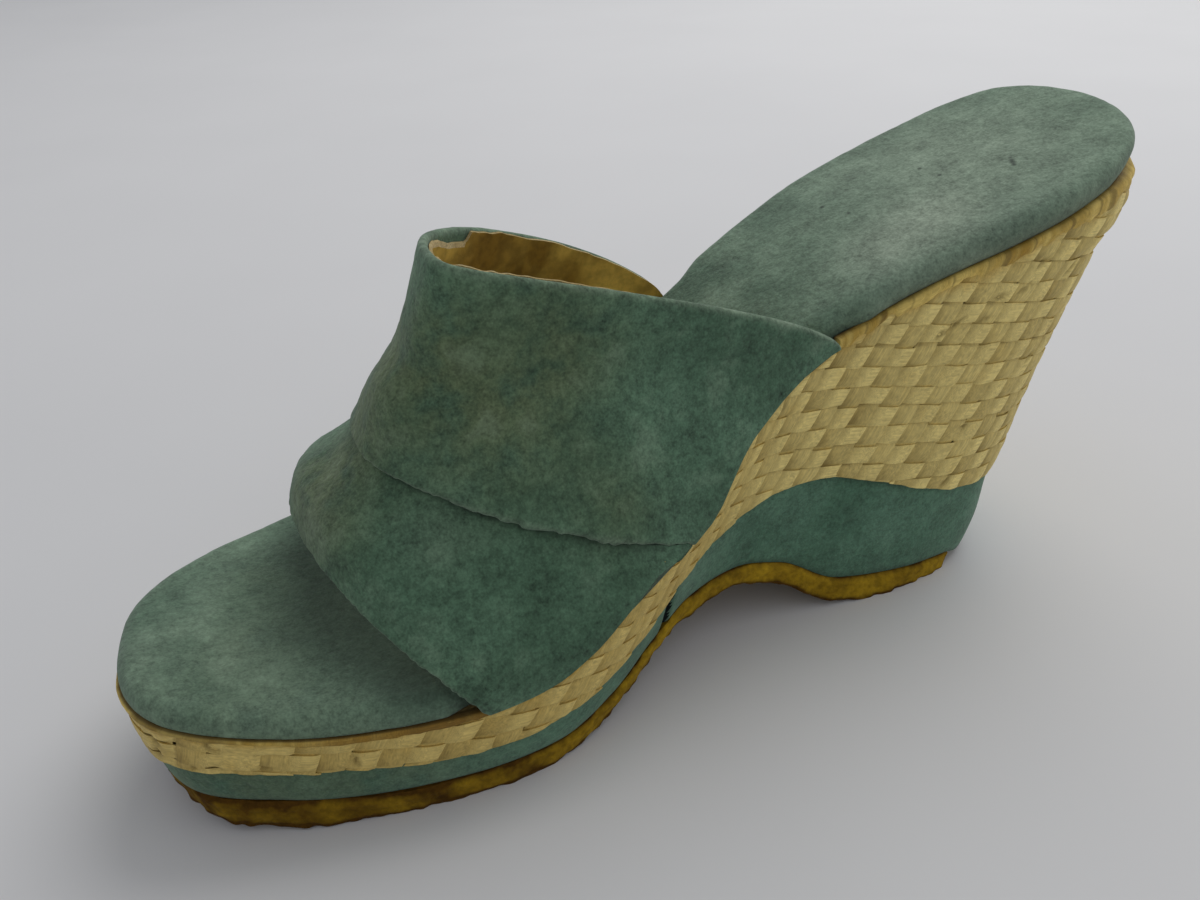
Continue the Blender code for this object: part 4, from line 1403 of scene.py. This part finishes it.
def make_edge():
    """Glue-stained strip over the raffia's top edge, where the upper doesn't cover it."""
    strips = StripMesh()
    around = np.linspace(0.0, RAFFIA_WALL.length, EDGE_SAMPLES, endpoint=False)
    x = top_x(around)
    medial = around < RAFFIA_WALL.length / 2
    front = np.where(medial, UPPER[0].medial, UPPER[0].lateral) + EDGE_MARGIN
    rear = np.where(medial, UPPER[-1].medial, UPPER[-1].lateral) - EDGE_MARGIN
    for there in (x < front, x > rear):
        start = np.flatnonzero(there & ~np.roll(there, 1))[0]
        at = (around[start] + np.arange(there.sum()) * RAFFIA_WALL.length / EDGE_SAMPLES)[:, None]
        heel = ease(top_x(at), *BINDING_RAMP)
        back = back_share(top_x(at))
        amber = ease(top_x(at), *AMBER_RAMP) * (1 - heel)
        tall = EDGE_TALL + EDGE_TALL_HEEL * heel + EDGE_TALL_AMBER * amber + line_lumps(
            at, (0.2 + 0.8 * heel, 4.0, 0.0), (0.15 + 0.45 * heel, 1.3, 5.0))
        over = EDGE.over + (EDGE.over_heel - EDGE.over) * heel + (EDGE.over_back - EDGE.over_heel) * back
        lift = EDGE.lift + (EDGE.lift_heel - EDGE.lift) * heel + (EDGE.lift_back - EDGE.lift_heel) * back
        rise = top_line(at) + EDGE.rise * tall + over * (1 + line_lumps(at, EDGE_OVER_RAGS))
        ripple = line_lumps(at, *EDGE_RIPPLE)
        lift = lift + (0.06 + 0.12 * heel) * ripple * (lift > 0)
        tone = 0.55 + line_lumps(at, *EDGE_TONES) - 0.5 * amber
        tone = unit(tone)
        crack = ease(line_lumps(at, EDGE_CRACKS), 0.55, 0.70) * heel
        soot = ease(0.35 - heel - 0.6 * amber + line_lumps(at, EDGE_SOOT), 0.0, 0.5)
        # Painted shade where the strip runs in under the footbed, with soot, glue and cracks
        dark = EDGE.dark + (EDGE.dark_heel - EDGE.dark) * heel
        for dirt in (0.5 * soot, 0.25 * amber, 0.5 * crack):
            dark = np.maximum(dark, dirt)
        strips.add(wall_point(np.broadcast_to(at, rise.shape), rise, lift), along=at, across=EDGE.rise * 1.5,
                   tone=tone, stain=0.5 - 0.5 * tone + 0.5 * amber, dip=dark)
    strips.piece("raffia_edge", "raffia_edge")


def add_floor():
    """Plain pale floor."""
    size = 20.0
    mesh = bpy.data.meshes.new("floor")
    mesh.from_pydata([(-size, -size, 0), (size, -size, 0), (size, size, 0), (-size, size, 0)], [], [(0, 1, 2, 3)])
    made, tree, shader = start_material("floor", 0.9, Specular_IOR_Level=0.1)
    colour = mix(tree, noise(tree, object_place(tree), 9.0, 2.0), (0.73, 0.73, 0.735), (0.77, 0.77, 0.775))
    tree.links.new(colour, shader.inputs["Base Color"])
    mesh.materials.append(made)
    floor = add_object("floor", mesh)


def add_light(name, place, target, size, power):
    """Round soft light that shines from a place to a target."""
    light = bpy.data.lights.new(name, "AREA")
    light.shape = "DISK"
    light.size = size
    light.energy = power
    light.color = (1.0, 0.99, 0.97)
    made = add_object(name, light)
    made.location = place
    made.rotation_euler = (Vector(target) - Vector(place)).to_track_quat("-Z", "Y").to_euler()


def add_lights():
    """Big soft light from above and behind, a weak one from the side and an even fill."""
    add_light("key", (0.72, 0.48, 1.0), (0.08, 0.13, 0.0), 1.3, 7.5)
    add_light("side", (0.95, -0.60, 0.45), (0.06, 0.0, 0.04), 0.9, 0.8)
    world = bpy.data.worlds.new("studio")
    world.use_nodes = True
    background = world.node_tree.nodes["Background"]
    background.inputs["Color"].default_value = (0.93, 0.95, 1.0, 1.0)
    background.inputs["Strength"].default_value = 0.42
    bpy.context.scene.world = world


def add_camera():
    """Camera at the photo's viewpoint."""
    azimuth, elevation, roll = np.radians((AZIMUTH, ELEVATION, ROLL))
    back = np.array((np.sin(azimuth) * np.cos(elevation), -np.cos(azimuth) * np.cos(elevation), np.sin(elevation)))
    level = np.array((np.cos(azimuth), np.sin(azimuth), 0.0))
    above = np.cross(back, level)
    right = level * np.cos(roll) + above * np.sin(roll)
    up = above * np.cos(roll) - level * np.sin(roll)
    camera = bpy.data.cameras.new("camera")
    camera.sensor_width = SENSOR
    camera.sensor_fit = "HORIZONTAL"
    camera.lens = FOCUS_PX / PHOTO_WIDTH * SENSOR
    camera.clip_start = 0.01
    made = add_object("camera", camera)
    made.matrix_world = Matrix([(*column, 0.0) for column in (right, up, back)] + [(0, 0, 0, 1)]).transposed()
    made.location = (TARGET + back * DISTANCE + right * OFFSET_RIGHT + up * OFFSET_UP - ORIGIN) * MM
    bpy.context.scene.camera = made


add_camera()
add_floor()
add_lights()
make_outsole()
make_platform()
make_core()
make_weft()
make_warp()
make_edge()
make_footbed()
make_band("upper_front_band", 0.0, LAP_EDGE + LAP, front_lifts, RIM_WEAR_AND_HIGHLIGHT_FRONT)
make_band("upper_rear_band", LAP_EDGE, 1.0, rear_lifts, RIM_WEAR_AND_HIGHLIGHT_REAR)
make_lining()

scene = bpy.context.scene
scene.view_settings.view_transform = "Standard"
scene.view_settings.look = "None"
